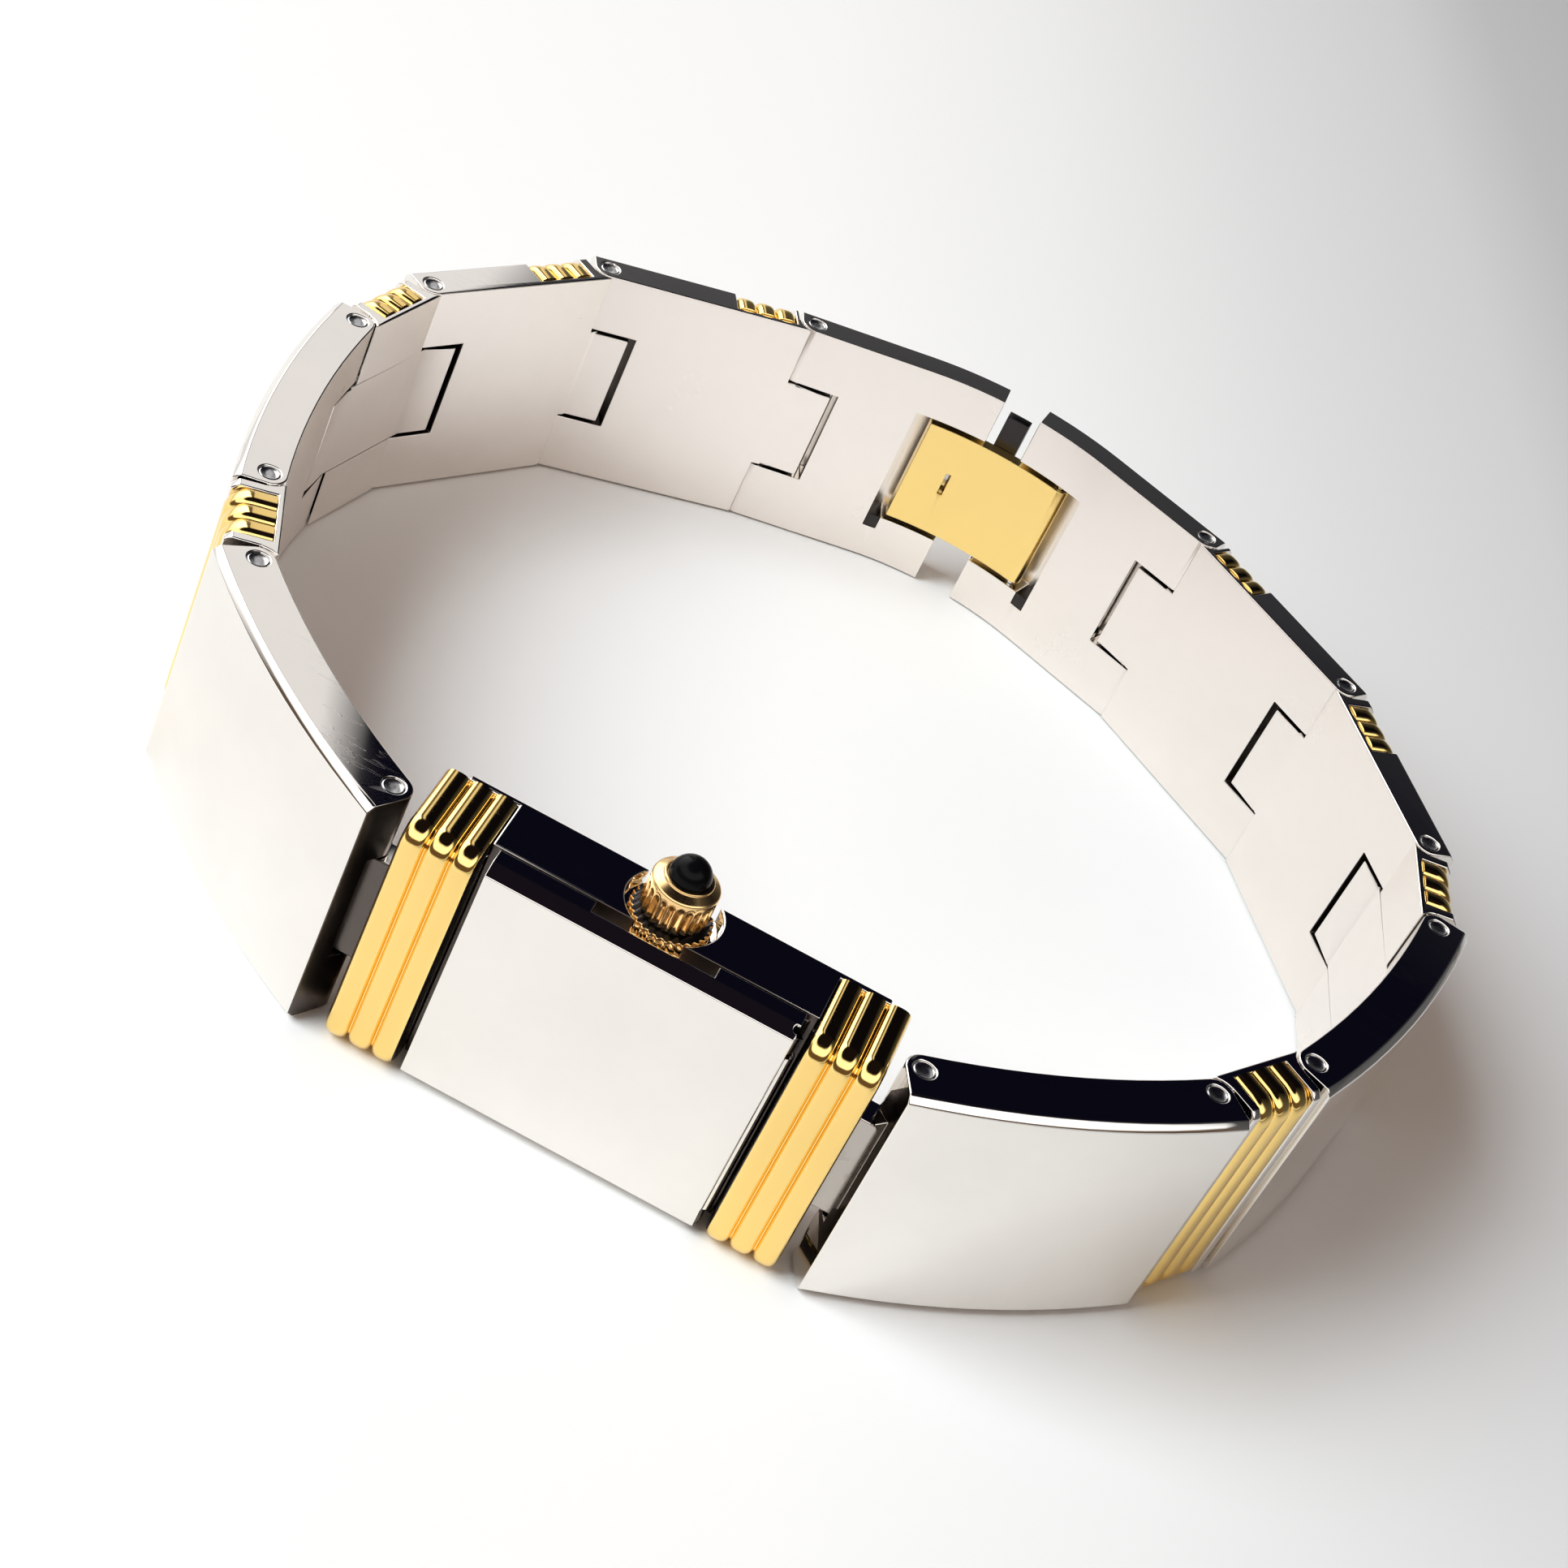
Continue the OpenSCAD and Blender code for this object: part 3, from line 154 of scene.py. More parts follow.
def metalFinish(name, look):
    finish, tree, shader, where = newFinish(name)
    link = tree.links.new
    shader.inputs["Metallic"].default_value = 1.0

    clouds = addNode(tree, "ShaderNodeTexNoise", in_Scale=metalPattern["cloudSize"],
                     in_Detail=metalPattern["cloudDetail"], in_Roughness=metalPattern["cloudRough"])
    link(where, clouds.inputs["Vector"])
    low, high = metalPattern["toneEdges"]
    shade = darker(look["colour"], metalPattern["cloudTone"])
    tone = addRamp(tree, clouds.outputs["Fac"], [(low, shade), (high, look["colour"])])
    link(tone, shader.inputs["Base Color"])

    low, high = metalPattern["roughEdges"]
    smoothest = max(look["rough"] - look["cloud"], metalPattern["leastRough"])
    roughest = look["rough"] + look["cloud"]
    polish = addRamp(tree, clouds.outputs["Fac"], [(low, grey(smoothest)), (high, grey(roughest))])
    hairs = addNode(tree, "ShaderNodeMath", operation="MAXIMUM")
    for socket, (turnBy, size) in enumerate(metalPattern["scratchLays"]):
        link(scratchPattern(tree, where, turnBy, size), hairs.inputs[socket])
    scratched = addNode(tree, "ShaderNodeMath", operation="MULTIPLY_ADD")
    link(hairs.outputs[0], scratched.inputs[0])
    scratched.inputs[1].default_value = look["scratch"]
    link(polish, scratched.inputs[2])
    link(scratched.outputs[0], shader.inputs["Roughness"])

    height = hairs.outputs[0]
    relief = metalPattern["scratchRelief"]
    if "brush" in look:
        lay = addNode(tree, "ShaderNodeMapping", in_Scale=look.get("lay", (1, 1, 1)))
        link(where, lay.inputs["Vector"])
        lines = addNode(tree, "ShaderNodeTexNoise", in_Scale=metalPattern["brushSize"],
                        in_Detail=metalPattern["brushDetail"])
        link(lay.outputs["Vector"], lines.inputs["Vector"])
        height = lines.outputs["Fac"]
        relief = metalPattern["brushRelief"] * look["brush"]
    bump = addNode(tree, "ShaderNodeBump", in_Strength=relief, in_Distance=metalPattern["reliefDepth"] * mm)
    link(height, bump.inputs["Height"])
    link(bump.outputs["Normal"], shader.inputs["Normal"])
    return finish


# stone, dial, rubber, plastic and crystal, each with a fine grain in its tone and gloss
plains = {
    "blackStone": {"colour": (0.003, 0.003, 0.0035), "rough": 0.22, "sockets": {"Specular IOR Level": 0.08}},
    "ivoryDial": {"colour": (0.88, 0.85, 0.77), "rough": 0.45, "sockets": {}},
    "rubberSeal": {"colour": (0.03, 0.03, 0.03), "rough": 0.7, "sockets": {}},
    "whitePlastic": {"colour": (0.8, 0.8, 0.78), "rough": 0.5, "sockets": {}},
    "clearCrystal": {"colour": (0.98, 0.99, 1.0), "rough": 0.03,
                     "sockets": {"Transmission Weight": 1.0, "IOR": 1.77}},
}
plainPattern = {"grainSize": 400.0, "grainDetail": 5.0, "grainEdges": (0.3, 0.7), "tone": 0.9,
                "glossLow": 0.8, "glossHigh": 1.2, "relief": 0.1, "reliefDepth": 0.01}


def plainFinish(name, look):
    finish, tree, shader, where = newFinish(name)
    link = tree.links.new
    grain = addNode(tree, "ShaderNodeTexNoise", in_Scale=plainPattern["grainSize"],
                    in_Detail=plainPattern["grainDetail"])
    link(where, grain.inputs["Vector"])
    low, high = plainPattern["grainEdges"]
    shade = darker(look["colour"], plainPattern["tone"])
    tone = addRamp(tree, grain.outputs["Fac"], [(low, shade), (high, look["colour"])])
    link(tone, shader.inputs["Base Color"])
    smoothest = look["rough"] * plainPattern["glossLow"]
    roughest = min(look["rough"] * plainPattern["glossHigh"], 1.0)
    gloss = addRamp(tree, grain.outputs["Fac"], [(low, grey(smoothest)), (high, grey(roughest))])
    link(gloss, shader.inputs["Roughness"])
    bump = addNode(tree, "ShaderNodeBump", in_Strength=plainPattern["relief"],
                   in_Distance=plainPattern["reliefDepth"] * mm)
    link(grain.outputs["Fac"], bump.inputs["Height"])
    link(bump.outputs["Normal"], shader.inputs["Normal"])
    for key, value in look["sockets"].items():
        shader.inputs[key].default_value = value
    return finish


finishes = {name: metalFinish(name, look) for name, look in metals.items()}
finishes.update({name: plainFinish(name, look) for name, look in plains.items()})
print("finishes ready")


# inner works and small fittings keep the frame's own shapes
nodeFinish = {
    "back_gasket": "rubberSeal", "cover_pin": "pinSteel", "crystal": "clearCrystal",
    "crystal_gasket": "whitePlastic", "dial": "ivoryDial", "hour_markers": "polishedGold",
    "hour_hand": "polishedGold", "minute_hand": "polishedGold", "movement": "brassParts",
    "movement_ring": "whitePlastic", "battery": "satinSteel", "stem": "pinSteel",
    "crown_tube": "brassParts", "crown_gasket": "rubberSeal", "leaf_pin": "pinSteel", "catch_peg": "pinSteel",
}


def dressNodes():
    for name, obj in frame["nodes"].items():
        finish = finishes[nodeFinish.get(name, "polishedSteel")]
        if not obj.material_slots:
            obj.data.materials.append(finish)
        for place in obj.material_slots:
            place.material = finish


dressNodes()
print("frame dressed")


# what the band's pieces share, worked out from the frame's hinges
band = {"low": 0.1, "high": 12.7, "middle": 6.4, "pinIn": 0.85, "pocketHalf": 3.0, "endReach": 2.0}
hinges = {joint["name"]: Vector(joint["pos_m"]) / mm for joint in frame["joints"] if "pos_m" in joint}
sides = {"left": -1, "right": 1}
# link 1 is beside the case, and hinge 1 is its first pin
linkNodes = {1: "plate_{}1", 2: "bar_{}1", 3: "plate_{}2", 4: "bar_{}2", 5: "plate_{}3", 6: "plate_{}4"}
ribsLink = {"1": 2, "2": 4, "3": 5, "4": 6}
plateHinge = {"1": 1, "2": 3, "3": 5, "4": 6, "5": 7}


def sideOf(node):
    return "left" if node.split("_")[1][0] == "l" else "right"


# a link's own frame: X from its first pin to the next, Y towards the wrist, Z across the band
def linkFrame(side, number):
    start = hinges[f"{side}_hinge_{number}"]
    end = hinges[f"{side}_hinge_{number + 1}"]
    along = Vector((end.x - start.x, end.y - start.y, 0))
    span = along.length
    along.normalize()
    inward = Vector((-along.y, along.x, 0)) * sides[side]
    return {"start": Vector((start.x, start.y, 0)), "along": along, "inward": inward, "span": span}


caseFrame = {"start": Vector((0, 0, 0)), "along": Vector((1, 0, 0)), "inward": Vector((0, 1, 0)), "span": 0}


def placed(link, x, y, z):
    return link["start"] + link["along"] * x + link["inward"] * y + Vector((0, 0, z))


bodyOf = {node: body for body, nodes in frame["record"]["behaviour"]["bodies"].items() for node in nodes}
# corners of a new piece that lie closer than this are one
sameCorner = 0.0005


def newPiece(name, points, faces, finish, node):
    mesh = bpy.data.meshes.new(name)
    mesh.from_pydata([Vector(p) * mm for p in points], [], faces)
    piece = bpy.data.objects.new(name, mesh)
    bpy.context.collection.objects.link(piece)
    work = bmesh.new()
    work.from_mesh(mesh)
    bmesh.ops.remove_doubles(work, verts=work.verts, dist=sameCorner * mm)
    bmesh.ops.recalc_face_normals(work, faces=work.faces)
    work.to_mesh(mesh)
    work.free()
    mesh.materials.append(finishes[finish])
    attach(piece, bodyOf[node])
    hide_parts(node)
    return piece


def smooth(piece, degrees):
    piece.data.shade_smooth()
    piece.data.set_sharp_from_angle(angle=math.radians(degrees))


# gives painted shade, a dark steel finish, to a piece's faces where the given mask says so of their centre
def dullFaces(piece, isShaded):
    piece.data.materials.append(finishes["darkSteelAndPaintedShade"])
    for face in piece.data.polygons:
        if isShaded(face.center / mm):
            face.material_index = 1


# steel pieces take the frame's outline, and their edges are rounded as polishing leaves them
# the first four values are the rounding of most pieces, links, the body, and small or thin pieces
edges = {"width": 0.05, "link": 0.08, "body": 0.09, "fine": 0.025, "segments": 2, "fromAngle": 30.0,
         "flatAngle": 0.3, "facing": 0.85, "sameCorner": 0.002, "evenWeight": 80}


# joinFlats makes one face of each flat; it stays off where a flat has screw holes, which it would close
def roundedCopy(node, finishNames, chooseFinish=None, width=edges["width"], joinFlats=True):
    piece = bpy.data.objects.new("rounded_" + node, frame["nodes"][node].data.copy())
    bpy.context.collection.objects.link(piece)
    mesh = piece.data
    mesh.materials.clear()
    for name in finishNames:
        mesh.materials.append(finishes[name])
    work = bmesh.new()
    work.from_mesh(mesh)
    bmesh.ops.remove_doubles(work, verts=work.verts, dist=edges["sameCorner"] * mm)
    if joinFlats:
        flat = math.radians(edges["flatAngle"])
        bmesh.ops.dissolve_limit(work, angle_limit=flat, verts=work.verts, edges=work.edges)
    for face in work.faces:
        face.material_index = chooseFinish(face.normal, face.calc_center_median() / mm) if chooseFinish else 0
    work.to_mesh(mesh)
    work.free()
    mesh.shade_smooth()
    bevel = piece.modifiers.new("roundedEdge", "BEVEL")
    bevel.width = width * mm
    bevel.segments = edges["segments"]
    bevel.limit_method = "ANGLE"
    bevel.angle_limit = math.radians(edges["fromAngle"])
    bevel.use_clamp_overlap = False
    even = piece.modifiers.new("evenShading", "WEIGHTED_NORMAL")
    even.weight = edges["evenWeight"]
    even.keep_sharp = True
    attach(piece, bodyOf[node])
    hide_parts(node)
    return piece


# the finishes of a link and of the case, and their places in that list
linkFinishes = ("polishedSteel", "satinSteel", "paintedShadeSteel")
caseFinishes = linkFinishes + ("paintedHalfShadeSteel",)
polished, satin, paintedShade, paintedHalfShade = range(len(caseFinishes))


# a link is polished outside, satin on the wrist side, and gets painted shade, a dark steel finish, in its pockets
# or at its ends where asked
def linkChooser(link, shadePocket, shadeEnd):
    def choose(normal, centre):
        if normal.dot(link["inward"]) > edges["facing"]:
            return satin
        place = (centre - link["start"]).dot(link["along"])
        depth = (centre - link["start"]).dot(link["inward"])
        nearEnd = not band["endReach"] < place < link["span"] - band["endReach"]
        if nearEnd and abs(normal.dot(link["along"])) > edges["facing"]:
            return paintedShade if shadeEnd else polished
        inPocket = depth > -band["pinIn"] and abs(centre.z - band["middle"]) < band["pocketHalf"]
        return paintedShade if inPocket and shadePocket else polished
    return choose


# the pocket of the right first plate stays bright, and the end of the left one gets painted shade
def addLinks():
    for side in sides:
        for number, pattern in linkNodes.items():
            node = pattern.format(side[0])
            choose = linkChooser(linkFrame(side, number), node != "plate_r1", node == "plate_l1")
            roundedCopy(node, linkFinishes, choose, edges["link"])


# the clasp plates arch across the loop, and are satin where they face the case
def addClasp():
    across = hinges["left_hinge_7"] - hinges["right_hinge_7"]
    facing = Vector((across.y, -across.x, 0)).normalized()
    if facing.y > 0:
        facing = -facing

    def choose(normal, centre):
        return satin if normal.dot(facing) > edges["facing"] else polished

    for side in sides:
        roundedCopy(f"plate_{side[0]}5", linkFinishes[:2], choose)
        roundedCopy(f"stop_{side[0]}5", ("darkSteelAndPaintedShade",), width=edges["fine"])
    roundedCopy("lift_bar", ("darkSteelAndPaintedShade",))
    roundedCopy("clasp_leaf", ("satinGold",))


# the body gets painted shade under the cover, with a painted half shade at its right lug, and is satin at the
# back; the cover is satin inside and gets painted shade in its notch
# nearly is how far a face's centre may lie from a plane and still be on it
caseParts = {"bodyFront": -0.75, "backFace": 2.5, "coverInside": -1.62, "notchHalf": 3.0, "notchFoot": 11.6,
             "notchRise": 0.5, "rightLug": 11.0, "nearly": 0.01}


def addCase():
    def chooseBody(normal, centre):
        if centre.y < caseParts["bodyFront"] + caseParts["nearly"]:
            return paintedHalfShade if centre.x > caseParts["rightLug"] else paintedShade
        return satin if centre.y > caseParts["backFace"] - caseParts["nearly"] else polished

    def chooseCover(normal, centre):
        if normal.y > edges["facing"]:
            return satin
        inNotch = abs(centre.x) < caseParts["notchHalf"] and centre.z > caseParts["notchFoot"]
        behindFront = centre.y > caseParts["coverInside"] and normal.z < caseParts["notchRise"]
        return paintedShade if inNotch and behindFront else polished

    roundedCopy("case_body", caseFinishes, chooseBody, edges["body"])
    roundedCopy("cover", linkFinishes, chooseCover)
    roundedCopy("case_back", ("satinSteel",), width=edges["fine"], joinFlats=False)
    roundedCopy("back_screws", ("pinSteel",), width=edges["fine"])


addLinks()
addClasp()
addCase()
print("steel rounded")


# gold crests: one section of three ribs swept round the two sides and the front
# a fullness above two makes the ribs flatter than half rounds
crest = {"radius": 0.56, "pitch": 1.12, "bend": 0.6, "groove": 0.38, "seat": 0.8, "height": 12.8,
         "fullness": 2.9, "flank": 0.94, "coverFlank": 0.84, "ribSteps": 20, "bendSteps": 12,
         "smoothAngle": 40}


# the section as pairs of a place across the ribs and a depth below their tops
def crestSection():
    def full(value):
        return math.copysign(abs(value) ** (2 / crest["fullness"]), value)

    radius = crest["radius"]
    floor = math.acos(1 - crest["groove"] / radius)
    foot = math.acos(1 - crest["seat"] / radius)
    section = []
    for rib in (-1, 0, 1):
        first = -foot if rib == -1 else -floor
        last = foot if rib == 1 else floor
        for step in range(crest["ribSteps"] + 1):
            angle = first + (last - first) * step / crest["ribSteps"]
            across = rib * crest["pitch"] + radius * full(math.sin(angle))
            section.append((across, radius * (1 - full(math.cos(angle)))))
    return section


# the path of the rib tops from one end to the other, as pairs of a point and its outward direction
def crestPath(outY, endY):
    turn = crest["radius"] + crest["bend"]
    top = crest["height"]
    path = [((endY, 0.0), (0, -1))]
    for lowSide in (True, False):
        centreZ = turn if lowSide else top - turn
        for step in range(crest["bendSteps"] + 1):
            angle = math.radians(90) * step / crest["bendSteps"]
            if lowSide:
                out = (-math.sin(angle), -math.cos(angle))
            else:
                out = (-math.cos(angle), math.sin(angle))
            path.append(((outY + turn + turn * out[0], centreZ + turn * out[1]), out))
    path.append(((endY, top), (0, 1)))
    return path


def addCrest(node, link, middleX, outY, endY):
    section = crestSection()
    path = crestPath(outY, endY)
    points = []
    for (y, z), (outwardY, outwardZ) in path:
        for across, depth in section:
            points.append(placed(link, middleX + across, y - outwardY * depth, z - outwardZ * depth))
    wide = len(section)
    faces = []
    for row in range(len(path) - 1):
        for column in range(wide):
            after = (column + 1) % wide
            below, above = row * wide, (row + 1) * wide
            faces.append((below + column, below + after, above + after, above + column))
    faces.append(tuple(range(wide)))
    faces.append(tuple(range((len(path) - 1) * wide, len(path) * wide)))
    piece = newPiece("crest_" + node, points, faces, "polishedGold", node)

    # beside the case the flanks go down into gaps, and get painted shade there
    def isFlank(centre):
        across = (centre - link["start"]).dot(link["along"]) - middleX
        share = crest["coverFlank"] if across * middleX < 0 else crest["flank"]
        return link is caseFrame and abs(across) > crest["pitch"] + crest["radius"] * share

    dullFaces(piece, isFlank)
    smooth(piece, crest["smoothAngle"])


# a crest's place comes from its node's box in the link's own frame
def addCrests():
    for node in [name for name in frame["nodes"] if name.startswith(("ribs_", "end_ribs_"))]:
        link = caseFrame if node.startswith("end_ribs") else linkFrame(sideOf(node), ribsLink[node[-1]])
        corners = [v.co / mm - link["start"] for v in frame["nodes"][node].data.vertices]
        across = [c.dot(link["along"]) for c in corners]
        inwards = [c.dot(link["inward"]) for c in corners]
        addCrest(node, link, (min(across) + max(across)) / 2, min(inwards), max(inwards))


addCrests()
print("crests swept")


# turned pieces: a profile of radius and height is spun round the axis
def turned(name, axis, profile, steps, finish, node, radiusAt=None):
    points = []
    for radius, height in profile:
        for step in range(steps):
            angle = 2 * math.pi * step / steps
            r = radiusAt(radius, height, angle) if radiusAt else radius
            points.append((axis[0] + r * math.cos(angle), axis[1] + r * math.sin(angle), height))
    faces = []
    for row in range(len(profile) - 1):
        for step in range(steps):
            after = (step + 1) % steps
            faces.append((row * steps + step, row * steps + after,
                          (row + 1) * steps + after, (row + 1) * steps + step))
    faces.append(tuple(range(steps)))
    faces.append(tuple(range((len(profile) - 1) * steps, len(profile) * steps)))
    return newPiece(name, points, faces, finish, node)


# crown: toothed flange, fluted grip with a rounded shoulder, collar round the stone
crown = {"axis": (0.15, 1.1), "foot": 11.98, "flangeRadius": 1.85, "flangeHeight": 0.38, "neckRadius": 1.3,
         "neckHeight": 0.2, "neckSunk": 0.05, "gripRadius": 1.5, "fluteHeight": 1.3, "gripHeight": 1.65,
         "shoulderHeight": 0.2, "collarRadius": 1.11, "collarHeight": 0.12, "collarLip": 0.05,
         "stoneRadius": 0.93, "stoneGap": 0.03, "stoneSunk": 0.4, "flutes": 24, "teeth": 30,
         "fluteDepth": 0.13, "fluteFade": 0.16, "round": 0.04, "stepsEach": 16, "gripRows": 4,
         "shoulderRows": 6, "stoneRows": 24, "stoneSteps": 72, "smoothAngle": 50, "nearly": 0.001}
# the gap between flange and grip gets painted shade, a little beyond its own faces
crownGap = {"below": 0.06, "above": 0.01, "beyond": 0.2}


def addCrown():
    flangeTop = crown["foot"] + crown["flangeHeight"]
    gripFoot = flangeTop + crown["neckHeight"]
    fluteTop = gripFoot + crown["fluteHeight"]
    fadeFoot = fluteTop - crown["fluteFade"]
    gripTop = gripFoot + crown["gripHeight"]
    collarTop = gripTop + crown["shoulderHeight"] + crown["collarHeight"]
    flangeOut, gripOut, collarOut = crown["flangeRadius"], crown["gripRadius"], crown["collarRadius"]
    stoneOut = crown["stoneRadius"]
    soft = crown["round"]
    rows = crown["gripRows"]

    def wave(angle, count):
        return 0.5 + 0.5 * math.cos(angle * count)

    def fluted(radius, height, angle):
        if gripFoot - crown["nearly"] < height < gripTop:
            depth = crown["fluteDepth"] * min(1.0, max(0.0, (fluteTop - height) / crown["fluteFade"]))
            return radius - depth * wave(angle, crown["flutes"])
        return radius

    def toothed(radius, height, angle):
        return radius - crown["fluteDepth"] * wave(angle, crown["teeth"])

    def isGap(centre):
        radius = math.hypot(centre.x - crown["axis"][0], centre.y - crown["axis"][1])
        inHeight = flangeTop - crownGap["below"] < centre.z < gripFoot + crownGap["above"]
        return inHeight and radius < gripOut + crownGap["beyond"]

    grip = [(crown["neckRadius"], flangeTop - crown["neckSunk"]), (crown["neckRadius"], gripFoot),
            (gripOut - soft, gripFoot), (gripOut, gripFoot + soft)]
    for step in range(1, rows + 1):
        grip.append((gripOut, gripFoot + soft + (fadeFoot - gripFoot - soft) * step / rows))
    for step in range(1, rows + 1):
        grip.append((gripOut, fadeFoot + crown["fluteFade"] * step / rows))
    grip.append((gripOut, gripTop - 2 * soft))
    for step in range(crown["shoulderRows"] + 1):
        share = step / crown["shoulderRows"]
        straight = gripOut + (collarOut - gripOut) * share
        grip.append((straight - soft * (1 - share), gripTop + crown["shoulderHeight"] * share))
    grip += [(collarOut, collarTop - soft), (collarOut - soft, collarTop),
             (stoneOut + crown["collarLip"], collarTop), (stoneOut + crown["stoneGap"], collarTop - soft)]
    gripSteps = crown["flutes"] * crown["stepsEach"]
    gripPiece = turned("crownGrip", crown["axis"], grip, gripSteps, "crownGold", "crown", fluted)

    flange = [(flangeOut - soft, crown["foot"]), (flangeOut, crown["foot"] + soft),
              (flangeOut, flangeTop - soft), (flangeOut - soft, flangeTop)]
    flangeSteps = crown["teeth"] * crown["stepsEach"]
    flangePiece = turned("crownFlange", crown["axis"], flange, flangeSteps, "crownGold", "crown", toothed)

    stone = [(stoneOut, collarTop - crown["stoneSunk"]), (stoneOut, collarTop)]
    for step in range(1, crown["stoneRows"]):
        rise = math.radians(90) * step / crown["stoneRows"]
        stone.append((stoneOut * math.cos(rise), collarTop + stoneOut * math.sin(rise)))
    stonePiece = turned("crownStone", crown["axis"], stone, crown["stoneSteps"], "blackStone", "crown_stone")

    for piece in (gripPiece, flangePiece, stonePiece):
        smooth(piece, crown["smoothAngle"])
    for piece in (gripPiece, flangePiece):
        dullFaces(piece, isGap)


addCrown()
print("crown turned")


# hinge pins: turned heads with a rounded rim and a shallow dish, sunk a little into the plate sides
pin = {"headRadius": 0.5, "headLength": 0.5, "shaftRadius": 0.3, "sink": 0.05, "rim": 0.07, "rimStep": 0.02,
       "dish": 0.03, "dishEdge": 0.05, "dishRadius": 0.12, "steps": 48, "smoothAngle": 35}


def pinProfile():
    low = band["low"] + pin["sink"]
    high = band["high"] - pin["sink"]
    head, rim = pin["headRadius"], pin["rim"]
    half = [(pin["dishRadius"], low + pin["dish"]), (head - rim - pin["dishEdge"], low + pin["dish"]),
            (head - rim, low), (head - pin["rimStep"], low + pin["rimStep"]), (head, low + rim),
            (head, low + pin["headLength"]), (pin["shaftRadius"], low + pin["headLength"])]
    return half + [(radius, low + high - height) for radius, height in reversed(half)]


def addPins():
    profile = pinProfile()
    for node in [name for name in frame["nodes"] if name.startswith(("pin_", "pins_"))]:
        side = sideOf(node)
        first = plateHinge[node[-1]]
        places = [first, first + 1] if node.startswith("pins") else [first]
        for place in places:
            axis = hinges[f"{side}_hinge_{place}"]
            piece = turned(f"pin_{side}_{place}", (axis.x, axis.y), profile, pin["steps"], "pinSteel", node)
            smooth(piece, pin["smoothAngle"])


addPins()
print("pins turned")


# table: white paper with painted shade that falls off to grey towards the right and the back, in metres
table = {"half": 0.42, "fallStart": 0.01, "fallEnd": 0.16, "fallLean": 0.3, "rough": 0.8, "shine": 0.2,
         "paintedShadeTones": [(0.0, (0.95, 0.95, 0.94)), (0.12, (0.88, 0.89, 0.88)), (0.25, (0.76, 0.77, 0.77)),
                   (0.37, (0.68, 0.69, 0.70)), (0.44, (0.56, 0.57, 0.58)), (0.75, (0.42, 0.42, 0.42)),
                   (1.0, (0.34, 0.34, 0.34))]}


def addFloor():
    mesh = bpy.data.meshes.new("tableTop")
    half = table["half"]
    corners = [(-half, -half, 0), (half, -half, 0), (half, half, 0), (-half, half, 0)]
    mesh.from_pydata(corners, [], [(0, 1, 2, 3)])
    floor = bpy.data.objects.new("tableTop", mesh)
    bpy.context.collection.objects.link(floor)
    finish, tree, shader, where = newFinish("tablePaper")
    parts = addNode(tree, "ShaderNodeSeparateXYZ")
    tree.links.new(where, parts.inputs[0])
    reach = addNode(tree, "ShaderNodeMath", operation="MULTIPLY_ADD")
    tree.links.new(parts.outputs["Y"], reach.inputs[0])
    reach.inputs[1].default_value = table["fallLean"]
    tree.links.new(parts.outputs["X"], reach.inputs[2])
    span = addNode(tree, "ShaderNodeMapRange", in_From_Min=table["fallStart"], in_From_Max=table["fallEnd"])
    tree.links.new(reach.outputs[0], span.inputs["Value"])
    tree.links.new(addRamp(tree, span.outputs["Result"], table["paintedShadeTones"]), shader.inputs["Base Color"])
    shader.inputs["Roughness"].default_value = table["rough"]
    shader.inputs["Specular IOR Level"].default_value = table["shine"]
    mesh.materials.append(finish)


# the room that polished metal mirrors, as pairs of a place and a brightness
# walls and horizon go by degrees from straight back, positive to the right, and the rest by height, 0 to 1
# on the left are two bright windows with a dark pier between them, and on the right a dark room
# behind the camera a pale window stands above a brown wall
darkWall = (0.003, 0.003, 0.008)
brownWall = (0.13, 0.09, 0.06)
pier = (0.15, 0.12, 0.09)
narrowWindow = (0.88, 0.86, 0.85)
ceiling = (0.008, 0.006, 0.010)
room = {
    "walls": [(-180, grey(0.45)), (-110, grey(0.9)), (-60, grey(3.2)), (-32, grey(3.6)), (-29, pier),
              (-20, pier), (-18.5, narrowWindow), (-12.3, narrowWindow), (-11.5, darkWall), (45, darkWall),
              (90, grey(0.1)), (140, grey(0.4)), (180, grey(0.45))],
    "horizon": [(-180, grey(0.85)), (-12.3, grey(0.85)), (-9, grey(0.45)), (10, grey(0.12)),
                (90, grey(0.12)), (140, grey(0.7)), (180, grey(0.85))],
    "horizonShare": [(0.0, grey(1)), (0.10, grey(1)), (0.25, grey(0.4)), (0.49, grey(0.15)), (0.56, grey(0)),
                     (1.0, grey(0))],
    "ceilingShare": [(0.0, grey(0)), (0.78, grey(0)), (0.88, grey(1)), (1.0, grey(1))],
    "behind": [(0.0, grey(0.8)), (0.04, grey(0.8)), (0.08, brownWall), (0.40, brownWall), (0.48, grey(1.7)),
               (0.80, grey(1.7)), (0.88, ceiling), (1.0, ceiling)],
    "behindBlend": 0.15,
}
# what matt surfaces get from all round, and what the camera sees behind the table
sky = {"forMatt": 0.33, "colour": (1.0, 0.79, 0.68, 1), "backdrop": (1, 1, 1, 1)}


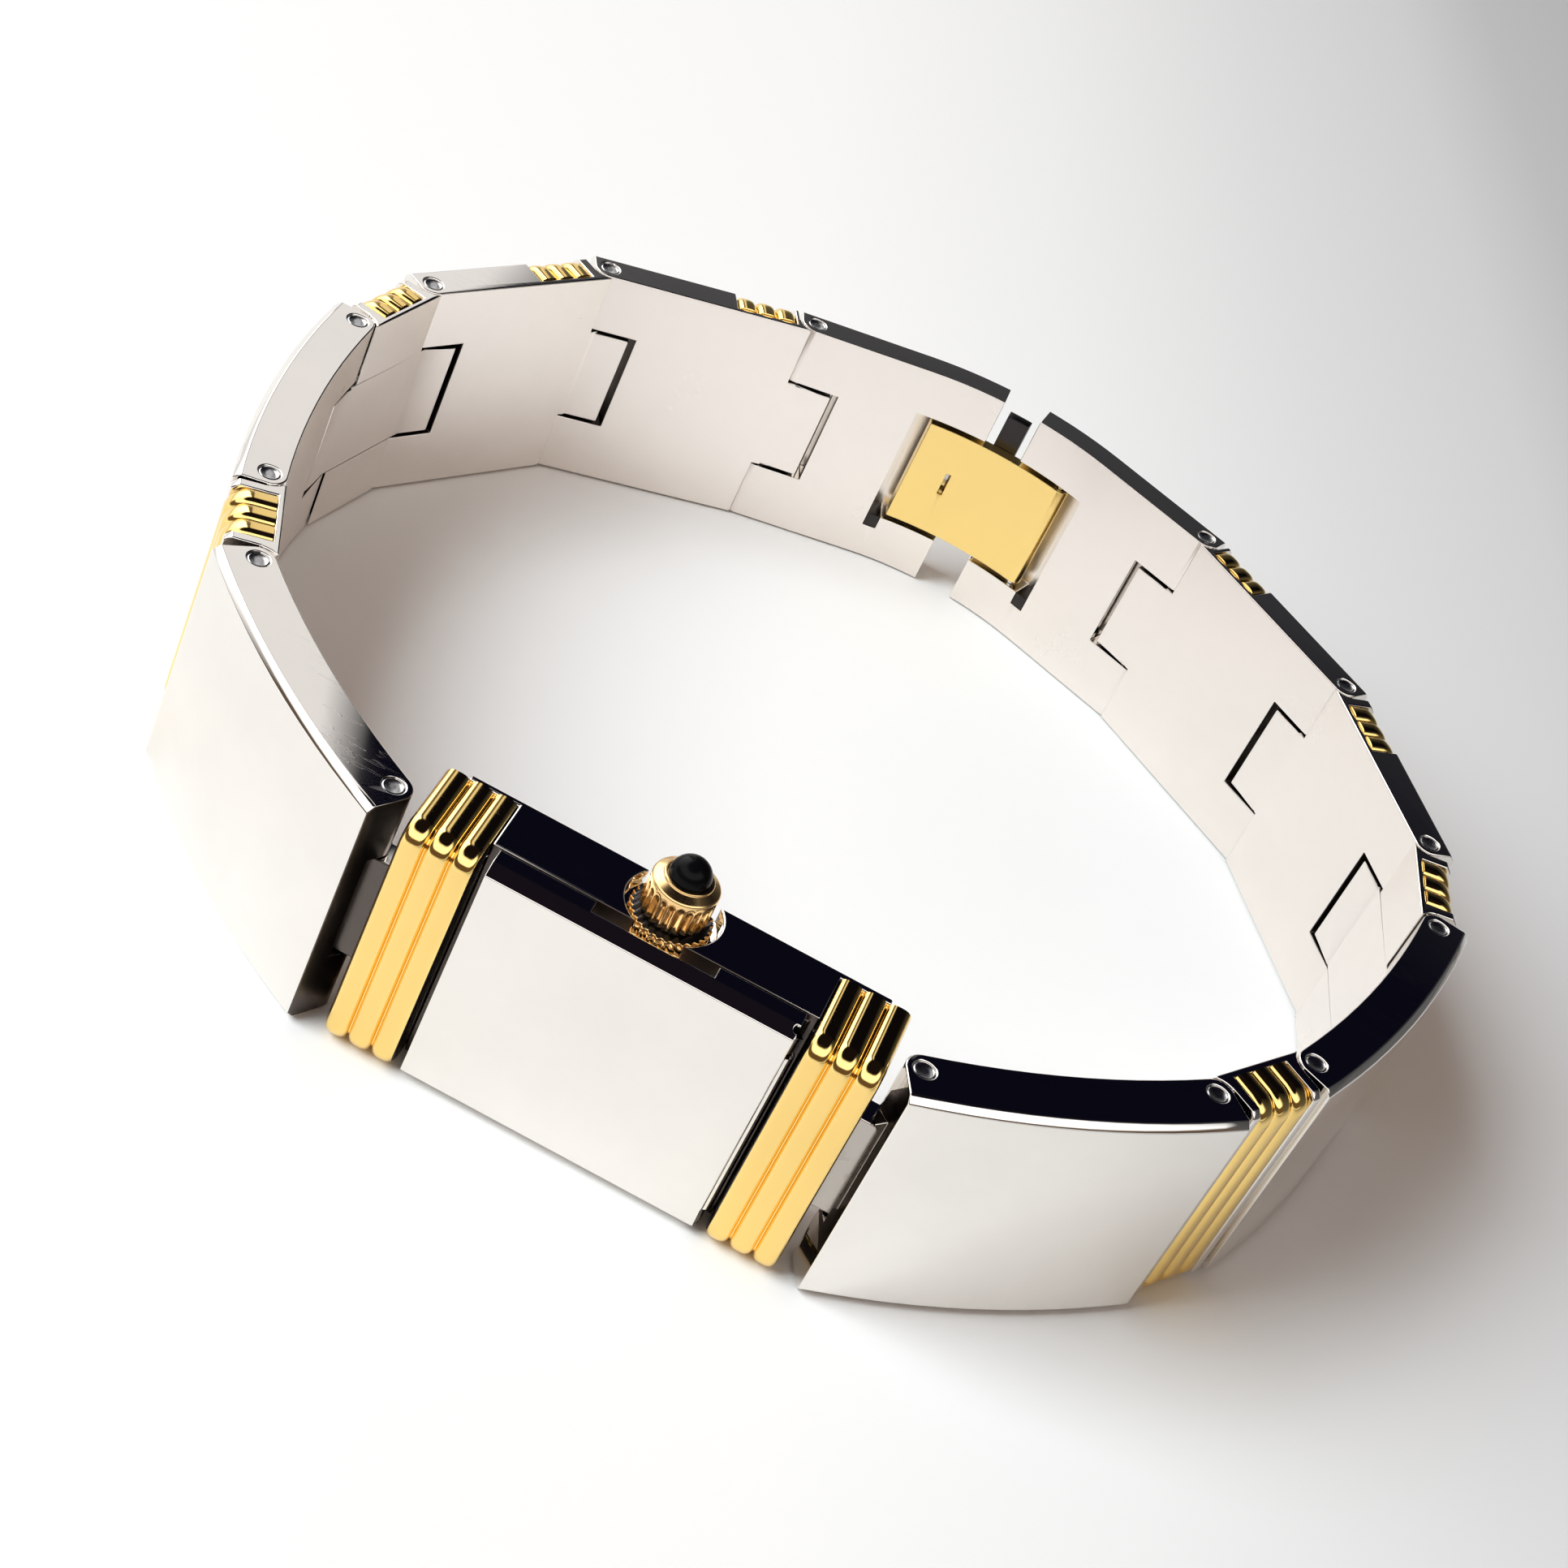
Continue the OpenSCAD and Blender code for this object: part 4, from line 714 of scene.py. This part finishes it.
def addWorld():
    world = bpy.data.worlds.new("studioAir")
    bpy.context.scene.world = world
    world.use_nodes = True
    tree = world.node_tree
    tree.nodes.clear()
    link = tree.links.new
    parts = addNode(tree, "ShaderNodeSeparateXYZ")
    link(addNode(tree, "ShaderNodeTexCoord").outputs["Generated"], parts.inputs[0])
    azimuth = addNode(tree, "ShaderNodeMath", operation="ARCTAN2")
    link(parts.outputs["X"], azimuth.inputs[0])
    link(parts.outputs["Y"], azimuth.inputs[1])
    spread = addNode(tree, "ShaderNodeMapRange", in_From_Min=-math.pi, in_From_Max=math.pi)
    link(azimuth.outputs[0], spread.inputs["Value"])
    # a range from 0 to 1 only cuts off what lies below the horizon
    rise = addNode(tree, "ShaderNodeMapRange")
    link(parts.outputs["Z"], rise.inputs["Value"])
    blend = room["behindBlend"]
    backShare = addNode(tree, "ShaderNodeMapRange", in_From_Min=blend, in_From_Max=-blend)
    link(parts.outputs["Y"], backShare.inputs["Value"])

    def roundRamp(stops):
        turns = [((degrees + 180.0) / 360.0, colour) for degrees, colour in stops]
        return addRamp(tree, spread.outputs["Result"], turns)

    def heightRamp(stops):
        return addRamp(tree, rise.outputs["Result"], stops)

    # sockets 6 and 7 of the mix are its colours
    def mixed(share, first, second):
        mix = addNode(tree, "ShaderNodeMix", data_type="RGBA")
        link(share, mix.inputs[0])
        link(first, mix.inputs[6])
        if isinstance(second, tuple):
            mix.inputs[7].default_value = (*second, 1)
        else:
            link(second, mix.inputs[7])
        return mix.outputs[2]

    ahead = mixed(heightRamp(room["horizonShare"]), roundRamp(room["walls"]), roundRamp(room["horizon"]))
    ahead = mixed(heightRamp(room["ceilingShare"]), ahead, ceiling)
    around = mixed(backShare.outputs["Result"], ahead, heightRamp(room["behind"]))
    shiny = addNode(tree, "ShaderNodeBackground")
    link(around, shiny.inputs["Color"])
    matt = addNode(tree, "ShaderNodeBackground", in_Color=sky["colour"], in_Strength=sky["forMatt"])
    backdrop = addNode(tree, "ShaderNodeBackground", in_Color=sky["backdrop"])
    rays = addNode(tree, "ShaderNodeLightPath")
    pick = addNode(tree, "ShaderNodeMixShader")
    link(rays.outputs["Is Glossy Ray"], pick.inputs[0])
    link(matt.outputs[0], pick.inputs[1])
    link(shiny.outputs[0], pick.inputs[2])
    last = addNode(tree, "ShaderNodeMixShader")
    link(rays.outputs["Is Camera Ray"], last.inputs[0])
    link(pick.outputs[0], last.inputs[1])
    link(backdrop.outputs[0], last.inputs[2])
    link(last.outputs[0], addNode(tree, "ShaderNodeOutputWorld").inputs["Surface"])


# the left window as a light on matt surfaces, in metres and watts; metal mirrors the room instead
windowLight = {"place": (-0.59, -0.25, 0.60), "aim": (0, 0.025, 0), "size": (0.6, 0.6), "power": 10.0,
               "colour": (0.92, 1.0, 1.05)}


def addWindowLight():
    data = bpy.data.lights.new("windowLeft", "AREA")
    data.shape = "RECTANGLE"
    data.size, data.size_y = windowLight["size"]
    data.energy = windowLight["power"]
    data.color = windowLight["colour"]
    lamp = bpy.data.objects.new("windowLeft", data)
    lamp.location = windowLight["place"]
    aim = Vector(windowLight["aim"]) - Vector(windowLight["place"])
    lamp.rotation_euler = aim.to_track_quat("-Z", "Y").to_euler()
    lamp.visible_camera = False
    lamp.visible_glossy = False
    bpy.context.collection.objects.link(lamp)


addFloor()
addWorld()
addWindowLight()
bpy.context.scene.view_settings.view_transform = "Standard"
print("studio ready")
